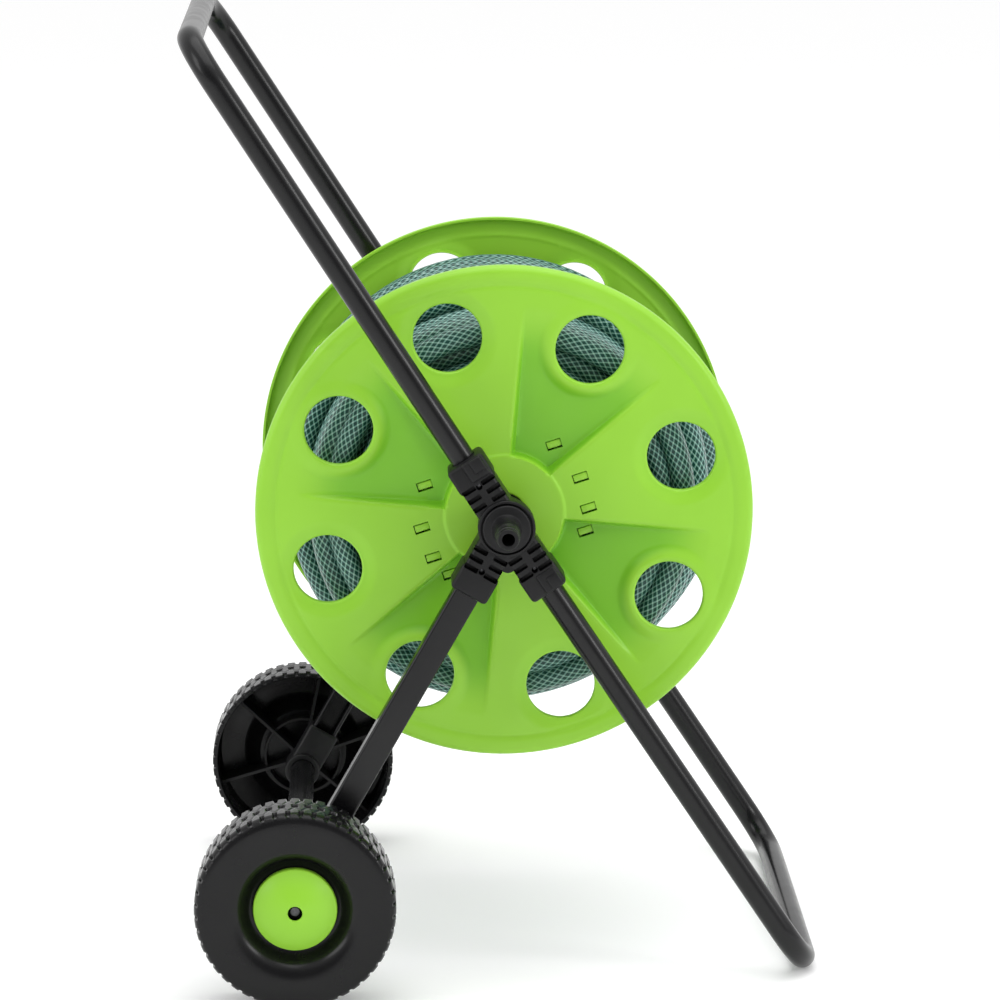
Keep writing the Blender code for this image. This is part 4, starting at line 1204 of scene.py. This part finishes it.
show("elbow", elbow_mesh(), "swivel_elbow")
HOSE_NUT = mm((9.3, 30), (11, 30), (12.5, 28.8), (12.5, 12.4), (12, 12), (9.3, 12))
nut_place = aligned(beside(-ELBOW_AT) + ARM * OUTLET_AT[0], OUTLET)
show("nut", lathe(HOSE_NUT, nut_place, 108, corner=0.0003, reach=winged), "hose_nut")

# ---- spindle, crank and knob
SPINDLE = mm((0, 201.5), (9.2, 201.5), (9.2, 136.8), (15.2, 136.8), (15.2, 105.5), (0, 105.5))
SQUARE = (0.0130, 0.0186, 0.0130)
CRANK_Y = (0.2030, 0.2180)
PIN_FOOT = HUB - Vector((0, 0, CRANK_REACH))


def spindle_mesh():
    """The turned spindle with its square end and the screw's bore."""
    base = bmesh_of(lathe(SPINDLE, outward(1), 56, closed=False, corner=0.0005))
    square = solid(SQUARE, Matrix.Translation(beside(0.2093)), 0.0006, 2)
    return combine(base, [add(square), cut(bar(0.0028, beside(0.2035), beside(0.2196), 24))])


def arm_outline(hub_r, tip_r, reach):
    """The outline of a tapered arm that hangs from the origin."""
    lean = acos((hub_r - tip_r) / reach)
    points = []
    for k in range(33):
        a = -pi / 2 + lean + (2 * pi - 2 * lean) * k / 32
        points.append((hub_r * cos(a), hub_r * sin(a)))
    for k in range(21):
        a = 1.5 * pi - lean + 2 * lean * k / 20
        points.append((tip_r * cos(a), tip_r * sin(a) - reach))
    return points


def slab(outline, low, high):
    """An outline in X and Z, thick along Y, as a bmesh on the hub."""
    bm = bmesh.new()
    lower, upper = ([bm.verts.new(HUB + Vector((x, y, z))) for x, z in outline] for y in (low, high))
    bm.faces.new(lower)
    bm.faces.new(list(reversed(upper)))
    for i in range(len(outline)):
        j = (i + 1) % len(outline)
        bm.faces.new((lower[i], upper[i], upper[j], lower[j]))
    return turned_out(bm)


def crank_mesh():
    """The crank's arm, hollowed lengthwise on its outer face."""
    hollow = [(x * 0.62, z * 0.70 - 0.019) for x, z in arm_outline(0.0140, 0.0100, CRANK_REACH)]
    return combine(slab(arm_outline(0.015, 0.011, CRANK_REACH), *CRANK_Y), [
        cut(slab(hollow, 0.2145, 0.2300)),
        add(bar(0.0124, beside(0.2070), beside(0.2178), 56)),
        cut(solid((0.0136, 0.020, 0.0136), Matrix.Translation(beside(0.2105)))),
        cut(bar(0.0043, beside(0.200, PIN_FOOT), beside(0.220, PIN_FOOT), 32))], 0.0009)


def knob_grip(r, h, a):
    """Shallow flutes along the knob."""
    share = float(ease((h - 0.226) / 0.008) * ease((0.290 - h) / 0.008))
    return r - 0.0006 * share * max(0.0, cos(10 * a)) if r > 0.0100 else r


show("spindle", spindle_mesh(), "drive_spindle")
show("crank", crank_mesh(), "crank_arm")
CRANK_SCREW = mm(
    (0, 222.8), (3, 222.8), (5, 222.5), (7, 221.4), (8, 220.1), (8, 219), (2.5, 219), (2.5, 206), (0, 205))
crank_screw = bmesh_of(lathe(CRANK_SCREW, outward(1), 48, closed=False, corner=0.0002))
crank_screw_mesh = combine(crank_screw, cross_cuts(outward(1), 0.2226, 0.0060, 0.0012))
show("crank_screw_head", crank_screw_mesh, "crank_screw")
at_pin = outward(1, PIN_FOOT)
PIN = mm(
    (0, 299.5), (5, 299.5), (6.5, 298.5), (6.5, 297), (4, 297), (4, 202.7), (6.5, 202.7), (6.5, 201),
    (5.5, 200.4), (0, 200.4))
show("pin", lathe(PIN, at_pin, 40, closed=False, corner=0.0003), "knob_pin")
KNOB = mm(
    (4.3, 296.5), (9.5, 296.5), (12, 295.6), (13.2, 293.5), (13.7, 290), (13.8, 287), (13.6, 280),
    (13.2, 270), (12.8, 260), (12.3, 250), (11.9, 242), (11.8, 238), (12, 232), (12.3, 228), (12.4, 224),
    (12.1, 221.2), (11.2, 219.4), (9.5, 218.6), (4.3, 218.6))
show("knob", lathe(KNOB, at_pin, 80, corner=0.0003, reach=knob_grip), "crank_knob")
